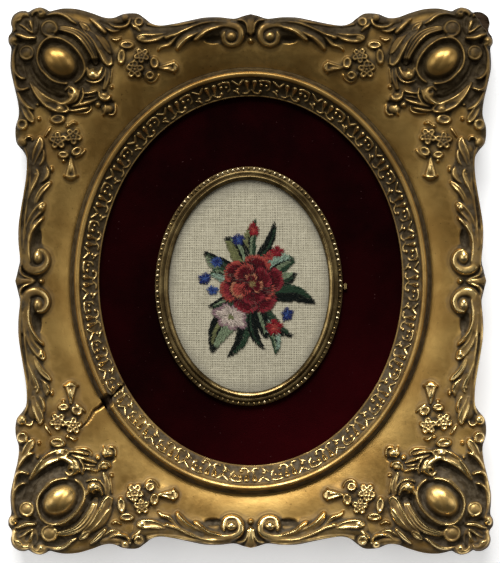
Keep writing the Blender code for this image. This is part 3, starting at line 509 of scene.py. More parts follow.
# %% Round and oval bosses
# Plain domes. Columns: x, y, half width, half height, height
DOMES = [
    (74.2, 67.0, 2.3, 1.8, 3.2), (81.4, 28.4, 1.5, 1.8, 2.9), (77.4, 43.5, 0.7, 1.3, 2.1),
    (83.7, 41.5, 0.6, 0.6, 2.1), (81.5, 0.0, 1.15, 1.15, 2.5), (0.0, 93.6, 1.15, 1.15, 2.5),
    (89.2, 54.0, 2.2, 2.2, 2.7), (92.4, 93.2, 1.9, 2.2, 3.1), (68.9, 72.9, 2.7, 2.9, 3.4),
    (61.3, 80.5, 2.8, 2.4, 3.7), (59.4, 68.6, 1.25, 1.2, 2.2), (57.0, 72.2, 1.7, 1.6, 2.1),
    (55.8, 66.9, 2.5, 1.9, 2.0), (54.2, 75.6, 0.8, 0.8, 1.7), (82.3, 63.0, 0.7, 0.7, 1.7),
    (82.9, 68.6, 0.6, 0.6, 1.6), (54.0, 101.2, 5.2, 2.0, 2.1), (48.9, 102.4, 1.7, 1.7, 2.6),
    (42.2, 94.4, 2.0, 1.5, 2.5), (32.3, 94.7, 1.1, 0.9, 2.6), (90.7, 102.0, 2.5, 2.3, 1.6),
    (81.4, 104.2, 2.5, 2.2, 1.7), (81.2, 103.8, 1.0, 0.8, 2.4), (71.6, 76.8, 0.8, 0.8, 3.0),
    (71.2, 60.4, 0.95, 0.95, 1.9), (72.8, 46.8, 0.8, 0.8, 1.8), (82.5, 9.2, 2.5, 3.3, 3.6),
    (7.5, 94.9, 2.7, 2.4, 3.6),
]
# Flat bodies under the volutes and the shell. Columns: x, y, half width, half height, height
BODIES = [(83.9, 7.6, 5.5, 5.7, 1.2), (7.2, 95.6, 4.6, 4.6, 1.2), (87.6, 99.4, 5.4, 5.2, 1.0)]
# Rims with a hollow middle. Columns: x, y, half width, half height, degrees, height
DISHES = [
    (72.9, 49.1, 2.3, 1.5, 5, 2.2), (67.7, 50.5, 2.4, 1.8, -30, 2.3), (75.1, 62.9, 3.2, 2.0, -6, 2.2),
    (39.2, 80.0, 1.9, 1.8, 0, 2.3), (37.5, 84.9, 1.8, 2.5, -10, 2.4), (48.1, 91.8, 3.0, 1.6, 0, 2.1),
    (50.3, 87.2, 1.6, 3.3, 5, 2.1), (43.5, 100.8, 2.0, 1.9, 0, 2.3), (88.8, 60.9, 2.3, 2.3, 0, 2.4),
]
# Rosettes. Columns: x, y, radius, height, petals, first angle in degrees
ROSETTES = [
    (75.0, 54.6, 3.4, 2.1, 5, 15), (69.0, 56.3, 3.3, 2.2, 5, 50), (45.1, 82.2, 3.5, 2.2, 5, 20),
    (42.4, 87.7, 3.1, 2.1, 5, 60),
]
# Buttons with a rim. Columns: x, y, radius, height
BUTTONS = [(87.1, 88.7, 3.1, 2.4), (78.3, 98.1, 3.5, 2.6)]
# Pits. Columns: x, y, half width, half height, degrees, depth
PITS = [
    (90.2, 93.0, 2.2, 0.8, -8, 1.3), (84.6, 92.8, 1.5, 1.1, 0, 1.2), (75.2, 96.0, 2.6, 0.8, -8, 1.0),
    (86.4, 99.0, 1.0, 2.6, -30, 0.9), (88.4, 98.4, 0.7, 2.2, -58, 0.8),
    (84.0, 100.4, 0.8, 2.2, -5, 0.9), (86.8, 70.5, 3.2, 1.4, 49, 0.7), (89.7, 76.9, 2.5, 1.6, 49, 0.45),
    (89.8, 81.8, 3.0, 1.4, 58, 0.55), (79.6, 68.9, 2.4, 0.6, 29, 0.5), (83.3, 16.2, 1.9, 4.2, 8, 1.8),
    (14.6, 94.0, 3.7, 1.5, 0, 1.8), (69.9, 73.6, 0.9, 0.8, 0, 1.7), (60.3, 82.0, 1.0, 0.7, 0, 1.7),
    (60.8, 84.8, 3.0, 1.7, -10, 1.5), (56.9, 73.6, 0.8, 0.6, 0, 1.4), (54.9, 69.4, 2.2, 1.0, 0, 1.3),
]
# Long soft hollows between the leaves. Depth at the start, the middle and the end, and rows of x, y
# and half width
TROUGHS = [
    ((1.0, 1.6, 1.2), [
        (87.2, 86.0, 1.6), (85.2, 79.6, 2.6), (81.0, 74.4, 2.8), (75.6, 71.4, 2.2), (72.6, 71.4, 1.4)]),
    ((0.8, 1.0, 0.8), [
        (62.8, 83.2, 1.4), (63.0, 87.2, 1.4), (65.2, 91.2, 1.4), (69.4, 94.8, 1.4), (73.6, 96.2, 1.0)]),
    ((0.5, 0.9, 0.6), [(58.2, 88.4, 0.8), (60.4, 92.6, 1.2), (64.0, 97.0, 0.9)]),
    ((0.4, 0.7, 0.5), [(88.2, 85.0, 0.6), (86.4, 79.0, 0.7), (82.2, 73.8, 0.7), (76.6, 70.6, 0.6)]),
    ((0.4, 0.7, 0.5), [(86.0, 86.0, 0.6), (83.9, 80.2, 0.7), (79.8, 75.4, 0.7), (74.8, 72.6, 0.6)]),
]
# The oval in which the toning also fills the ground between the leaves of the corner: x, y, half
# width, half height, degrees
CORNER_TONED = (77.5, 86.0, 17.0, 18.0, 0)
print("bosses:", len(DOMES) + len(DISHES) + len(BUTTONS), "rosettes:", len(ROSETTES), "pits:", len(PITS))

# %% [markdown]
# With the strokes ready the quarter is carved. The long bodies and the bed of the corner stone come
# first, the leaves and bosses stand on them, and the hollows and pits are sunk last. The soft masses
# go under all of it.

# %% Carve the quarter
# The corner stone lies on a low bed, in a groove. Half sizes are along it and across it
BED_HALF = (12.6, 10.4)
BED_HEIGHT = 2.3
GROOVE_HALF = (STONE_HALF[0] + 0.8, STONE_HALF[1] + 0.9)
GROOVE_DEPTH = 1.7
GROOVE_BREADTH = 0.13
STONE_HEIGHT = 4.9
# A rosette's petals and heart, as shares of its radius
PETAL_REACH = 0.62
PETAL_HALF = (0.42, 0.38)
HEART_HALF = 0.26


def over_grid(*oval):
    """Share of the way from an oval's middle to its edge, over the quarter's grid."""
    return oval_share(grid_x, grid_y, *oval)


def over_stone(half):
    """The same for an oval that lies as the corner stone does."""
    return over_grid(*CABOCHON, *half, CABOCHON_TURN)


mass = np.zeros(field_x.shape)
carve(mass, grid_x, grid_y, MASSES)
relief = np.zeros(field_x.shape)
carve(relief, grid_x, grid_y, LONG_BODIES)
dome(relief, over_stone(BED_HALF), BED_HEIGHT, 0.6)
relief -= GROOVE_DEPTH * np.exp(-((over_stone(GROOVE_HALF) - 1) / GROOVE_BREADTH) ** 2)
bare_ground = relief.copy()
dome(relief, over_stone(STONE_HALF), STONE_HEIGHT)
for strokes, shift in (
        (SIDE_SCROLL, SIDE_SHIFT), (END_SCROLL, END_SHIFT), (CORNER, CORNER_SHIFT),
        (SIDE_SPRAY, SIDE_SPRAY_SHIFT), (END_SPRAY, END_SPRAY_SHIFT)):
    carve(relief, grid_x, grid_y, strokes, shift)
for *oval, height in DOMES:
    dome(relief, over_grid(*oval), height)
for *oval, height in BODIES:
    dome(relief, over_grid(*oval), height, 0.25)
for *oval, height in DISHES:
    dished(relief, over_grid(*oval), height)
for x, y, radius, height in BUTTONS:
    button(relief, over_grid(x, y, radius, radius), height)
for x, y, radius, height, petals, first in ROSETTES:
    petal_half = [half * radius for half in PETAL_HALF]
    for degrees in (first + 360 * petal / petals for petal in range(petals)):
        out_x, out_y = heading(degrees)
        petal_middle = (x + PETAL_REACH * radius * out_x, y + PETAL_REACH * radius * out_y)
        dished(relief, over_grid(*petal_middle, *petal_half, degrees), height)
    dome(relief, over_grid(x, y, HEART_HALF * radius, HEART_HALF * radius), height)
print("highest ornament in mm:", round(float(relief.max()), 2))

# %% Sink the hollows and the pits
TONED_FROM = 0.3
covered = (relief > TONED_FROM).astype(float)
for depths, rows in TROUGHS:
    sunk = np.zeros(field_x.shape)
    carve(sunk, grid_x, grid_y, [("mass", depths, rows)])
    # the crest of a leaf is cut less than the low ground beside it
    relief -= sunk * np.clip(1.2 - 0.4 * relief, 0, 1)
    covered = np.maximum(covered, sunk > 0.2)
in_corner = over_grid(*CORNER_TONED) < 1
covered = np.maximum(covered, in_corner)
for *oval, depth in PITS:
    share = over_grid(*oval)
    relief -= depth * np.clip(1 - share ** 2, 0, 1) ** 0.7
    covered = np.maximum(covered, share < 1)
between_leaves = np.clip(2.0 - (relief - bare_ground) / 0.5, 0, 1) * in_corner
print("cells under ornament:", int((covered > 0).sum()))

# %% [markdown]
# Composition is soft when it is pressed, so the relief is blurred a little. The gilder's dark toning
# lies in the hollows, and later rubbing brightened the ridges. A wide blur of the height, less the
# height itself, tells hollows from ridges. The toning was washed over all the ornament and wiped off
# the panel, so a second measure tells where ornament lies.

# %% Soften the quarter and measure its hollows
PRESSED_BLUR = 0.22
LEAST_RUBBED_STONE = -0.5


def mirrored_margin(field):
    """Copies the strips beyond x = 0 and y = 0 from inside, so that the quarters meet smoothly."""
    cells = int(round(-GRID_START / GRID_STEP))
    field[:, :cells] = field[:, 2 * cells:cells:-1]
    field[:cells, :] = field[2 * cells:cells:-1, :]
    return field


relief = blurred(mirrored_margin(relief + mass), PRESSED_BLUR)
small_hollows = blurred(relief, 1.0) - relief
wide_hollows = blurred(relief, 3.0) - relief
hollow_field = np.clip(1.15 * small_hollows + 0.25 * wide_hollows, -1, 1)
between_leaves = blurred(between_leaves, 0.3)
hollow_field = np.maximum(hollow_field + 0.3 * between_leaves, 1.5 * between_leaves - 1.0)
covered = mirrored_margin(covered)
close_to_ornament = 2.4 * blurred(covered, 0.6) - 0.75
amid_ornament = 6 * (blurred(covered, 1.8) - 0.34)
toned_field = np.clip(np.maximum(close_to_ornament, amid_ornament), 0, 1)
# buttons and stones stand high, but they are rubbed less bright than leaves of their height
for x, y, radius, _ in BUTTONS:
    share = over_grid(x, y, radius, radius)
    least_rubbed = np.where(share < 0.78, -0.3, -0.45)
    hollow_field = np.where(share < 1.15, np.maximum(hollow_field, least_rubbed), hollow_field)
stone = np.clip(2.6 * (1 - over_stone(STONE_HALF)), 0, 1)
toned_field *= 1 - 0.85 * stone
hollow_field = np.where(stone > 0, np.maximum(hollow_field, LEAST_RUBBED_STONE), hollow_field)
height_field = ground_height(field_x, field_y) + relief
print("highest point in mm:", round(float(height_field.max()), 2))

# %% [markdown]
# The quarter's skin has to follow two exact lines: the scalloped outer edge and the foot of the oval
# rim. A plain grid would end in steps there. So points are laid out along both lines and in even
# rows between them, with fewer on the plain panel, and joined into triangles. The heights then come
# from the carved field.

# %% The outer edge
# One quarter, from the middle of the right side round the corner to the middle of the top.
# Columns: x, y
OUTLINE = [
    (91.6, 0.0), (90.6, 4.5), (89.8, 8.5), (90.4, 15.0), (90.4, 21.0), (89.5, 27.5), (88.3, 34.5),
    (87.3, 41.5), (87.2, 47.5), (88.6, 50.5), (91.2, 54.0), (91.6, 59.5), (90.3, 64.5), (90.6, 69.5),
    (92.0, 75.5), (93.5, 82.5), (93.5, 87.0), (93.3, 90.6), (94.3, 92.8), (94.3, 95.2), (93.1, 97.0),
    (92.9, 98.4), (93.4, 100.6), (92.6, 103.2), (90.4, 104.9), (88.0, 105.2), (86.5, 104.8),
    (84.6, 105.9), (82.0, 106.5), (79.8, 105.9), (78.2, 105.1), (75.6, 105.7), (72.5, 106.2),
    (67.5, 105.9), (62.0, 104.4), (57.0, 102.6), (53.5, 102.4), (49.5, 104.0), (44.5, 104.2),
    (41.5, 102.5), (38.5, 100.2), (35.0, 99.4), (30.0, 100.1), (24.0, 101.4), (18.0, 102.6),
    (12.0, 102.7), (6.5, 102.2), (3.0, 103.2), (0.0, 103.8),
]
POINT_STEP = 0.26


def lengths_along(x, y):
    """How far along a line each of its points lies."""
    return np.concatenate([[0], np.cumsum(np.hypot(np.diff(x), np.diff(y)))])


def evenly(line, step):
    """Points at an even step along a line."""
    lengths = lengths_along(line[:, 0], line[:, 1])
    stops = np.linspace(0, lengths[-1], int(round(lengths[-1] / step)) + 1)
    return np.stack([np.interp(stops, lengths, line[:, 0]), np.interp(stops, lengths, line[:, 1])], 1)


def sampled(field, points):
    """Values of a field between its grid points."""
    column = np.clip((points[:, 0] - GRID_START) / GRID_STEP, 0, len(grid_x) - 1.001)
    row = np.clip((points[:, 1] - GRID_START) / GRID_STEP, 0, len(grid_y) - 1.001)
    c0 = column.astype(int)
    r0 = row.astype(int)
    fc = column - c0
    fr = row - r0
    low = field[r0, c0] * (1 - fc) + field[r0, c0 + 1] * fc
    high = field[r0 + 1, c0] * (1 - fc) + field[r0 + 1, c0 + 1] * fc
    return low * (1 - fr) + high * fr


outline = evenly(smooth_through(OUTLINE), POINT_STEP)
outline_angles = np.unwrap(np.arctan2(outline[:, 1], outline[:, 0]))
outline_radii = np.hypot(outline[:, 0], outline[:, 1])
print("outer edge of a quarter:", len(outline), "points")

# %% Roll the outer edge down
EDGE_ROLL = 1.6
# The roll is part of a circle, cut off before it would stand upright
ROLL_PART = 0.84
edge_widths = np.full(len(outline), 2 * EDGE_ROLL)
edge_line = np.column_stack([outline, edge_widths, np.ones(len(outline))])[::3]
edge_share = np.abs(near_line(edge_line, field_x, field_y)[0])
over_roll = 1 - np.clip(2 * edge_share, 0, 1)
roll_field = EDGE_ROLL * (1 - np.sqrt(1 - (ROLL_PART * over_roll) ** 2))
at_edge = np.clip(2.0 - 2.0 * edge_share, 0, 1)
toned_field = np.maximum(toned_field, 0.9 * at_edge)
hollow_field += at_edge * np.clip(-0.1 - hollow_field, 0, 0.5)
print("depth of the roll in mm:", round(float(roll_field.max()), 2))

# %% Points of one quarter
angles = np.linspace(0, math.pi / 2, 2000)
foot = np.column_stack([FOOT_HALF[0] * np.cos(angles), FOOT_HALF[1] * np.sin(angles)])
foot_line = evenly(foot, POINT_STEP)
end_seam = evenly(np.array([foot_line[-1], outline[-1]]), POINT_STEP)[1:-1]
side_seam = evenly(np.array([outline[0], foot_line[0]]), POINT_STEP)[1:-1]
border = np.vstack([foot_line, end_seam, outline[::-1], side_seam])

row_step = POINT_STEP * math.sqrt(0.75)
ornate = blurred(((toned_field > 0.02) | (np.abs(relief) > 0.1)).astype(float), 0.5)
reach_x, reach_y = outline.max(axis=0)
rows = []
for index, y in enumerate(np.arange(0.5 * row_step, reach_y, row_step)):
    xs = np.arange(POINT_STEP * (0.5 + 0.5 * (index % 2)), reach_x, POINT_STEP)
    row = np.column_stack([xs, np.full(len(xs), y)])
    # the plain panel keeps every second point of every second row
    sparse = (np.arange(len(xs)) % 2 == 0) & (index % 2 == 0)
    rows.append(row[sparse | (sampled(ornate, row) > 0.02)])
inner = np.vstack(rows)
distance = np.hypot(inner[:, 0], inner[:, 1])
edge_reach = np.interp(np.arctan2(inner[:, 1], inner[:, 0]), outline_angles, outline_radii)
foot_share = np.hypot(inner[:, 0] / FOOT_HALF[0], inner[:, 1] / FOOT_HALF[1])
beyond_foot = foot_share > 1 + 0.5 * POINT_STEP / FOOT_HALF[0]
inner = inner[beyond_foot & (distance < edge_reach - 0.5 * POINT_STEP)]
print("points on the border:", len(border), "and inside it:", len(inner))

# %% Triangles of one quarter
count = len(border)
border_edges = [(i, (i + 1) % count) for i in range(count)]
laid = delaunay_2d_cdt([Vector(p) for p in np.vstack([border, inner])], border_edges, [], 1, 1e-6)
plan = np.array([tuple(p) for p in laid[0]])
triangles = np.array(laid[2])
from_border = {sources[0]: place for place, sources in enumerate(laid[3]) if sources}
edge_start = len(foot_line) + len(end_seam)
edge_indices = [from_border[i] for i in range(edge_start, edge_start + len(outline))]
print("points:", len(plan), "triangles:", len(triangles))


# %% [markdown]
# Old gilding has three layers that show: the gold-coloured metal leaf, a dark umber toning that was
# washed into every hollow, and the bright metal where ridges have been rubbed. One node group
# works all of this out from three measures that each mesh carries: how hollow a place is, how much
# toning the ornament there holds, and where the composition has broken away.

# %% Node helpers
def new_material(name):
    """A material with an empty Principled shader, and its tree."""
    material = bpy.data.materials.new(name)
    material.use_nodes = True
    return material, material.node_tree, material.node_tree.nodes["Principled BSDF"]


def maths(tree, operation, a, b=0.5, clamp=False):
    """One math node; a and b are sockets or numbers."""
    made = tree.nodes.new("ShaderNodeMath")
    made.operation = operation
    made.use_clamp = clamp
    for socket, value in zip(made.inputs, (a, b)):
        if isinstance(value, (int, float)):
            socket.default_value = value
        else:
            tree.links.new(value, socket)
    return made.outputs[0]


def times(tree, a, b):
    """a times b."""
    return maths(tree, "MULTIPLY", a, b)


def plus(tree, a, b):
    """a plus b."""
    return maths(tree, "ADD", a, b)


def minus(tree, a, b):
    """a minus b."""
    return maths(tree, "SUBTRACT", a, b)


def scaled(tree, value, factor, base):
    """A base plus a factor times the value."""
    return plus(tree, base, times(tree, value, factor))


def wavering(tree, value, size):
    """Turns noise from 0 to 1 into a wavering about 0."""
    return times(tree, minus(tree, value, 0.5), size)


def blend_colours(tree, share, a, b):
    """Mixes two colours, each a socket or an RGB triple."""
    made = tree.nodes.new("ShaderNodeMix")
    made.data_type = "RGBA"
    for socket, value in ((made.inputs[0], share), (made.inputs[6], a), (made.inputs[7], b)):
        if isinstance(value, (int, float)):
            socket.default_value = value
        elif isinstance(value, tuple):
            socket.default_value = (*value, 1.0)
        else:
            tree.links.new(value, socket)
    return made.outputs[2]


def noise_value(tree, vector, scale, detail, roughness=0.55):
    """Noise from 0 to 1 at so many cells to the metre."""
    made = tree.nodes.new("ShaderNodeTexNoise")
    made.inputs["Scale"].default_value = scale
    made.inputs["Detail"].default_value = detail
    made.inputs["Roughness"].default_value = roughness
    tree.links.new(vector, made.inputs["Vector"])
    return made.outputs["Fac"]


def ramp(tree, value, low, high):
    """Stretches a value so that low becomes 0 and high becomes 1."""
    made = tree.nodes.new("ShaderNodeMapRange")
    made.interpolation_type = "SMOOTHSTEP"
    made.inputs["From Min"].default_value = low
    made.inputs["From Max"].default_value = high
    tree.links.new(value, made.inputs["Value"])
    return made.outputs["Result"]


def axis_value(tree, vector, axis):
    """One of the three parts of a vector."""
    node = tree.nodes.new("ShaderNodeSeparateXYZ")
    tree.links.new(vector, node.inputs[0])
    return node.outputs[axis]


def attribute(tree, name, output="Fac"):
    """A measure that the mesh carries."""
    made = tree.nodes.new("ShaderNodeAttribute")
    made.attribute_name = name
    return made.outputs[output]


def object_place(tree):
    """A point's place on the object, in metres."""
    return tree.nodes.new("ShaderNodeTexCoord").outputs["Object"]


def stretched(tree, vector, scale):
    """A vector with its parts scaled, which draws a pattern out along an axis."""
    made = tree.nodes.new("ShaderNodeMapping")
    made.inputs["Scale"].default_value = scale
    tree.links.new(vector, made.inputs["Vector"])
    return made.outputs["Vector"]


def bump(tree, shader, height, distance):
    """Lets a height from 0 to 1 stand up by so many metres."""
    made = tree.nodes.new("ShaderNodeBump")
    made.inputs["Distance"].default_value = distance
    tree.links.new(height, made.inputs["Height"])
    tree.links.new(made.outputs["Normal"], shader.inputs["Normal"])


# %% The aged gilding group and its colours
gilding = bpy.data.node_groups.new("aged_gilding", "ShaderNodeTree")
for name, kind in (("Position", "Vector"), ("Hollow", "Float"), ("Toned", "Float"), ("Broken", "Float")):
    gilding.interface.new_socket(name, in_out="INPUT", socket_type="NodeSocket" + kind)
for name, kind in (
        ("Color", "Color"), ("Roughness", "Float"), ("Metallic", "Float"), ("Height", "Float"),
        ("Polish", "Float")):
    gilding.interface.new_socket(name, in_out="OUTPUT", socket_type="NodeSocket" + kind)
gild_in = gilding.nodes.new("NodeGroupInput").outputs
gild_out = gilding.nodes.new("NodeGroupOutput").inputs

LEAF_DARK = (0.36, 0.205, 0.055)
LEAF_LIGHT = (0.66, 0.42, 0.13)
LEAF_PAINTED_SHADE = (0.20, 0.11, 0.022)
RUBBED = (0.85, 0.635, 0.27)
TONING = (0.009, 0.006, 0.0028)
TONING_GREY = (0.036, 0.026, 0.0125)
TONING_PAINTED_LIT = (0.031, 0.0235, 0.0145)
TONING_PAINTED_LIT_GREY = (0.088, 0.070, 0.046)
BARE = (0.032, 0.019, 0.010)

position = gild_in["Position"]
cloud = noise_value(gilding, position, 55.0, 4.0)
mottle = noise_value(gilding, position, 420.0, 4.0, 0.65)
grain = noise_value(gilding, position, 2400.0, 2.0)
patches = noise_value(gilding, position, 170.0, 2.0)
specks = ramp(gilding, noise_value(gilding, position, 900.0, 2.0), 0.69, 0.75)
print("sockets of the gilding group:", len(gild_in), "in and", len(gild_out), "out")

# %% Where the gilding is toned and where it is rubbed
# painted shade and light: the toning is painted heaviest at the upper left and thinnest towards the lower
# right
drift = times(gilding, axis_value(gilding, position, "X"), 0.25)
painted_shade_upper_left = ramp(gilding, minus(gilding, axis_value(gilding, position, "Y"), drift), -0.09, 0.09)
painted_shade_shift = minus(gilding, times(gilding, painted_shade_upper_left, 0.60), 0.22)
patches_and_painted_shade = times(gilding, plus(gilding, wavering(gilding, patches, 1.3), painted_shade_shift), gild_in["Toned"])
hollow_mix = plus(gilding, gild_in["Hollow"], wavering(gilding, mottle, 0.4))
hollow_mix = plus(gilding, hollow_mix, patches_and_painted_shade)

# deep hollows are dark everywhere, and the thinner film lies only on toned ornament
held = scaled(gilding, gild_in["Toned"], 0.45, 0.55)
deep = times(gilding, ramp(gilding, hollow_mix, 0.02, 0.42), held)
film = times(gilding, ramp(gilding, hollow_mix, -0.8, -0.28), 0.74)
film = plus(gilding, film, times(gilding, ramp(gilding, hollow_mix, -0.12, 0.25), 0.26))
washed = times(gilding, gild_in["Toned"], film)
shade = times(gilding, maths(gilding, "MAXIMUM", deep, washed), 0.96)
# the ridges are rubbed bright, and given a painted highlight that grows towards the lower right
wear = minus(gilding, 0.95, times(gilding, painted_shade_upper_left, 0.45))
rubbed = times(gilding, ramp(gilding, hollow_mix, -0.4, -1.0), wear)
polish = times(gilding, ramp(gilding, hollow_mix, -0.4, -0.95), 0.22)
print("nodes that place the toning:", len(gilding.nodes))

# %% The gilding's colour, roughness and height
leaf = blend_colours(gilding, ramp(gilding, cloud, 0.35, 0.68), LEAF_DARK, LEAF_LIGHT)
leaf = blend_colours(gilding, times(gilding, mottle, 0.35), leaf, LEAF_DARK)
# painted shade: the leaf is darker towards the upper left
leaf = blend_colours(gilding, times(gilding, painted_shade_upper_left, 0.24), leaf, LEAF_PAINTED_SHADE)
clouded = ramp(gilding, mottle, 0.4, 0.62)
# the toning has a shaded copy at the upper left and a lit copy at the lower right, as painted light and shade
toning_in_painted_shade = blend_colours(gilding, clouded, TONING, TONING_GREY)
light = blend_colours(gilding, clouded, TONING_PAINTED_LIT, TONING_PAINTED_LIT_GREY)
skin = blend_colours(gilding, shade, leaf, blend_colours(gilding, painted_shade_upper_left, light, toning_in_painted_shade))
skin = blend_colours(gilding, rubbed, skin, RUBBED)
skin = blend_colours(gilding, times(gilding, specks, 0.6), skin, TONING)
skin = blend_colours(gilding, gild_in["Broken"], skin, BARE)

rough = plus(gilding, scaled(gilding, shade, 0.3, 0.28), times(gilding, mottle, 0.16))
rough = minus(gilding, rough, times(gilding, rubbed, 0.12))
rough = maths(gilding, "MAXIMUM", rough, times(gilding, gild_in["Broken"], 0.9))
whole = maths(gilding, "SUBTRACT", 1.0, gild_in["Broken"], clamp=True)
metal = times(gilding, whole, minus(gilding, 1.0, times(gilding, shade, 0.9)))
height = plus(gilding, times(gilding, mottle, 0.6), times(gilding, grain, 0.12))
for name, value in (
        ("Color", skin), ("Roughness", rough), ("Metallic", metal), ("Height", height), ("Polish", polish)):
    gilding.links.new(value, gild_out[name])
print("nodes of the gilding group:", len(gilding.nodes))

# %% The gilt material
gilt, tree, shader = new_material("aged_gilt")
group = tree.nodes.new("ShaderNodeGroup")
group.node_tree = gilding
tree.links.new(object_place(tree), group.inputs["Position"])
for measure in ("Hollow", "Toned", "Broken"):
    tree.links.new(attribute(tree, measure.lower()), group.inputs[measure])
for output, socket in (
        ("Color", "Base Color"), ("Roughness", "Roughness"), ("Metallic", "Metallic"),
        ("Polish", "Coat Weight")):
    tree.links.new(group.outputs[output], shader.inputs[socket])
bump(tree, shader, group.outputs["Height"], 0.00009)
shader.inputs["Specular IOR Level"].default_value = 0.12
shader.inputs["Coat Roughness"].default_value = 0.22
print("nodes of the gilt:", len(tree.nodes))

# %% [markdown]
# The four quarters are one carving turned over twice, as the makers did when they pressed all four
# corners from one mould. Each copy keeps its own mesh, because two of them carry damage: a crack
# at the lower left, and an outer lobe of the upper right corner that has broken off.

# %% Damage to two quarters
# The crack. Columns: x, y, half width, depth
CRACK = [
    (57.0, 47.6, 0.8, 3.0), (59.4, 49.6, 0.6, 2.4), (61.2, 50.8, 0.5, 1.8), (63.2, 54.2, 0.4, 1.4),
    (65.8, 57.0, 0.25, 0.8),
]
crack_share, crack_deep = near_line(smooth_through(CRACK, 4), field_x, field_y)
crack_cut = np.where(np.abs(crack_share) < 1, crack_deep * (1 - crack_share ** 2), 0)
crack_broken = np.clip(1.4 - np.abs(crack_share), 0, 1)

# The lobe broke off along a ragged line through two points
LOST_LOBE = ((95.5, 92.5), (84.0, 108.5))
RAGGED_CELLS = 4
RAGGED_SCALE = 0.35
lobe_run = np.subtract(LOST_LOBE[1], LOST_LOBE[0])
lobe_run = lobe_run / np.hypot(*lobe_run)
beyond = (field_x - LOST_LOBE[0][0]) * lobe_run[1] - (field_y - LOST_LOBE[0][1]) * lobe_run[0]
ragged = np.array([
    [noise.noise(Vector((x * RAGGED_SCALE, y * RAGGED_SCALE, 3.1))) for x in grid_x[::RAGGED_CELLS]]
    for y in grid_y[::RAGGED_CELLS]])
ragged = np.repeat(np.repeat(ragged, RAGGED_CELLS, 0), RAGGED_CELLS, 1)[:len(grid_y), :len(grid_x)]
beyond = beyond + 0.9 * blurred(ragged, 0.5)
lost = np.clip(beyond / 0.6 + 0.5, 0, 1)
print("broken cells:", int((lost > 0.5).sum()))


# %% Make a mesh a piece of the frame
def surface_mesh(name, points, faces, measures):
    """A smooth mesh in metres from points in millimetres, with its named measures."""
    mesh = bpy.data.meshes.new(name)
    mesh.from_pydata((points * MM).tolist(), [], faces)
    for measure, values in measures.items():
        layer = mesh.attributes.new(measure, "FLOAT", "POINT")
        layer.data.foreach_set("value", np.asarray(values, dtype=np.float32))
    mesh.shade_smooth()
    mesh.validate()
    return mesh


def join_frame(piece, replaces=()):
    """Lets a finished piece ride on the frame's only body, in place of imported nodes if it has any."""
    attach(piece, "root")
    if replaces:
        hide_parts(*replaces)
    print(piece.name, "triangles:", sum(len(p.vertices) - 2 for p in piece.data.polygons))
    return piece


def place_piece(name, mesh, material, replaces=()):
    """Links a finished mesh as a piece."""
    mesh.materials.append(material)
    piece = bpy.data.objects.new(name, mesh)
    bpy.context.scene.collection.objects.link(piece)
    return join_frame(piece, replaces)


def band_of_loops(loops):
    """Quads between closed loops of equal count."""
    count = len(loops[0])
    quads = []
    for row in range(len(loops) - 1):
        for i in range(count):
            j = (i + 1) % count
            quads.append((row * count + i, row * count + j, (row + 1) * count + j, (row + 1) * count + i))
    return quads


print("quads between two loops of four points:", len(band_of_loops([range(4), range(4)])))


# %% Build the four quarters
# The outer wall under the edge. Columns: inset, height
WALL = [(0.1, 11.0), (0.3, 8.5), (0.9, 5.5), (1.9, 2.5), (3.0, 0.0)]
WALL_HOLLOW = 0.1
EVENED_POINTS = 9
STUMP_HEIGHT = 8.6
STUMP_ROUGHNESS = 1.2


def carved_quarter(name, side_x, side_y, cut=None, broken=None, lost=None):
    """One quarter of the carved frame, from the rim's foot over the edge and down to the back."""
    heights = height_field - roll_field
    harm = np.zeros(field_x.shape)
    if cut is not None:
        heights = heights - cut
        harm = np.maximum(harm, broken)
    if lost is not None:
        heights = heights * (1 - lost) + lost * (STUMP_HEIGHT + STUMP_ROUGHNESS * ragged)
        harm = np.maximum(harm, lost)
    top = np.column_stack([plan, sampled(heights, plan)])
    # the very edge is evened out along its length, all but its two ends on the seams
    padded = np.pad(top[edge_indices, 2], EVENED_POINTS // 2, mode="edge")
    edge_levels = np.convolve(padded, np.full(EVENED_POINTS, 1 / EVENED_POINTS), "valid")
    top[edge_indices[1:-1], 2] = edge_levels[1:-1]
    edge = top[edge_indices]
    radii = np.hypot(edge[:, 0], edge[:, 1])
    rings = [np.array(edge_indices)]
    points = [top]
    for ring, (inset, level) in enumerate(WALL):
        inward = edge[:, :2] * (1 - inset / radii)[:, None]
        points.append(np.column_stack([inward, np.minimum(level, edge[:, 2] - 0.1)]))
        rings.append(len(top) + ring * len(edge) + np.arange(len(edge)))
    walls = [
        (upper[i + 1], upper[i], lower[i], lower[i + 1])
        for upper, lower in zip(rings, rings[1:]) for i in range(len(edge) - 1)]
    points = np.vstack(points) * (side_x, side_y, 1)
    faces = triangles.tolist() + np.array(walls).tolist()
    if side_x * side_y < 0:
        faces = [face[::-1] for face in faces]
    wall_count = len(points) - len(top)
    edge_harm = sampled(harm, plan)[edge_indices]
    measures = {
        "hollow": np.concatenate([sampled(hollow_field, plan), np.full(wall_count, WALL_HOLLOW)]),
        "toned": np.concatenate([sampled(toned_field, plan), np.ones(wall_count)]),
        "broken": np.concatenate([sampled(harm, plan), np.tile(edge_harm, len(WALL))]),
    }
    return place_piece(name, surface_mesh(name, points, faces, measures), gilt)


quarters = [
    carved_quarter("carved_quarter_top_right", 1, 1, lost=lost),
    carved_quarter("carved_quarter_top_left", -1, 1),
    carved_quarter("carved_quarter_bottom_left", -1, -1, cut=crack_cut, broken=crack_broken),
    carved_quarter("carved_quarter_bottom_right", 1, -1),
]
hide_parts("frame_moulding")

# %% [markdown]
# The oval moulding was run as one length and stamped with a small repeating pattern: two reeds side by
# side, and between two pairs of reeds a looped leaf with small scrolls. It is built as rings of points
# that follow the oval, with the stamp's own little height field added on its sloping band. Twenty-eight
# repeats fit the oval, and equal steps of length along it keep every repeat the same size.

# %% The stamp of the oval band
REPEATS = 28
STAMP_STEP = 0.12
BAND_WIDTH = 6.2
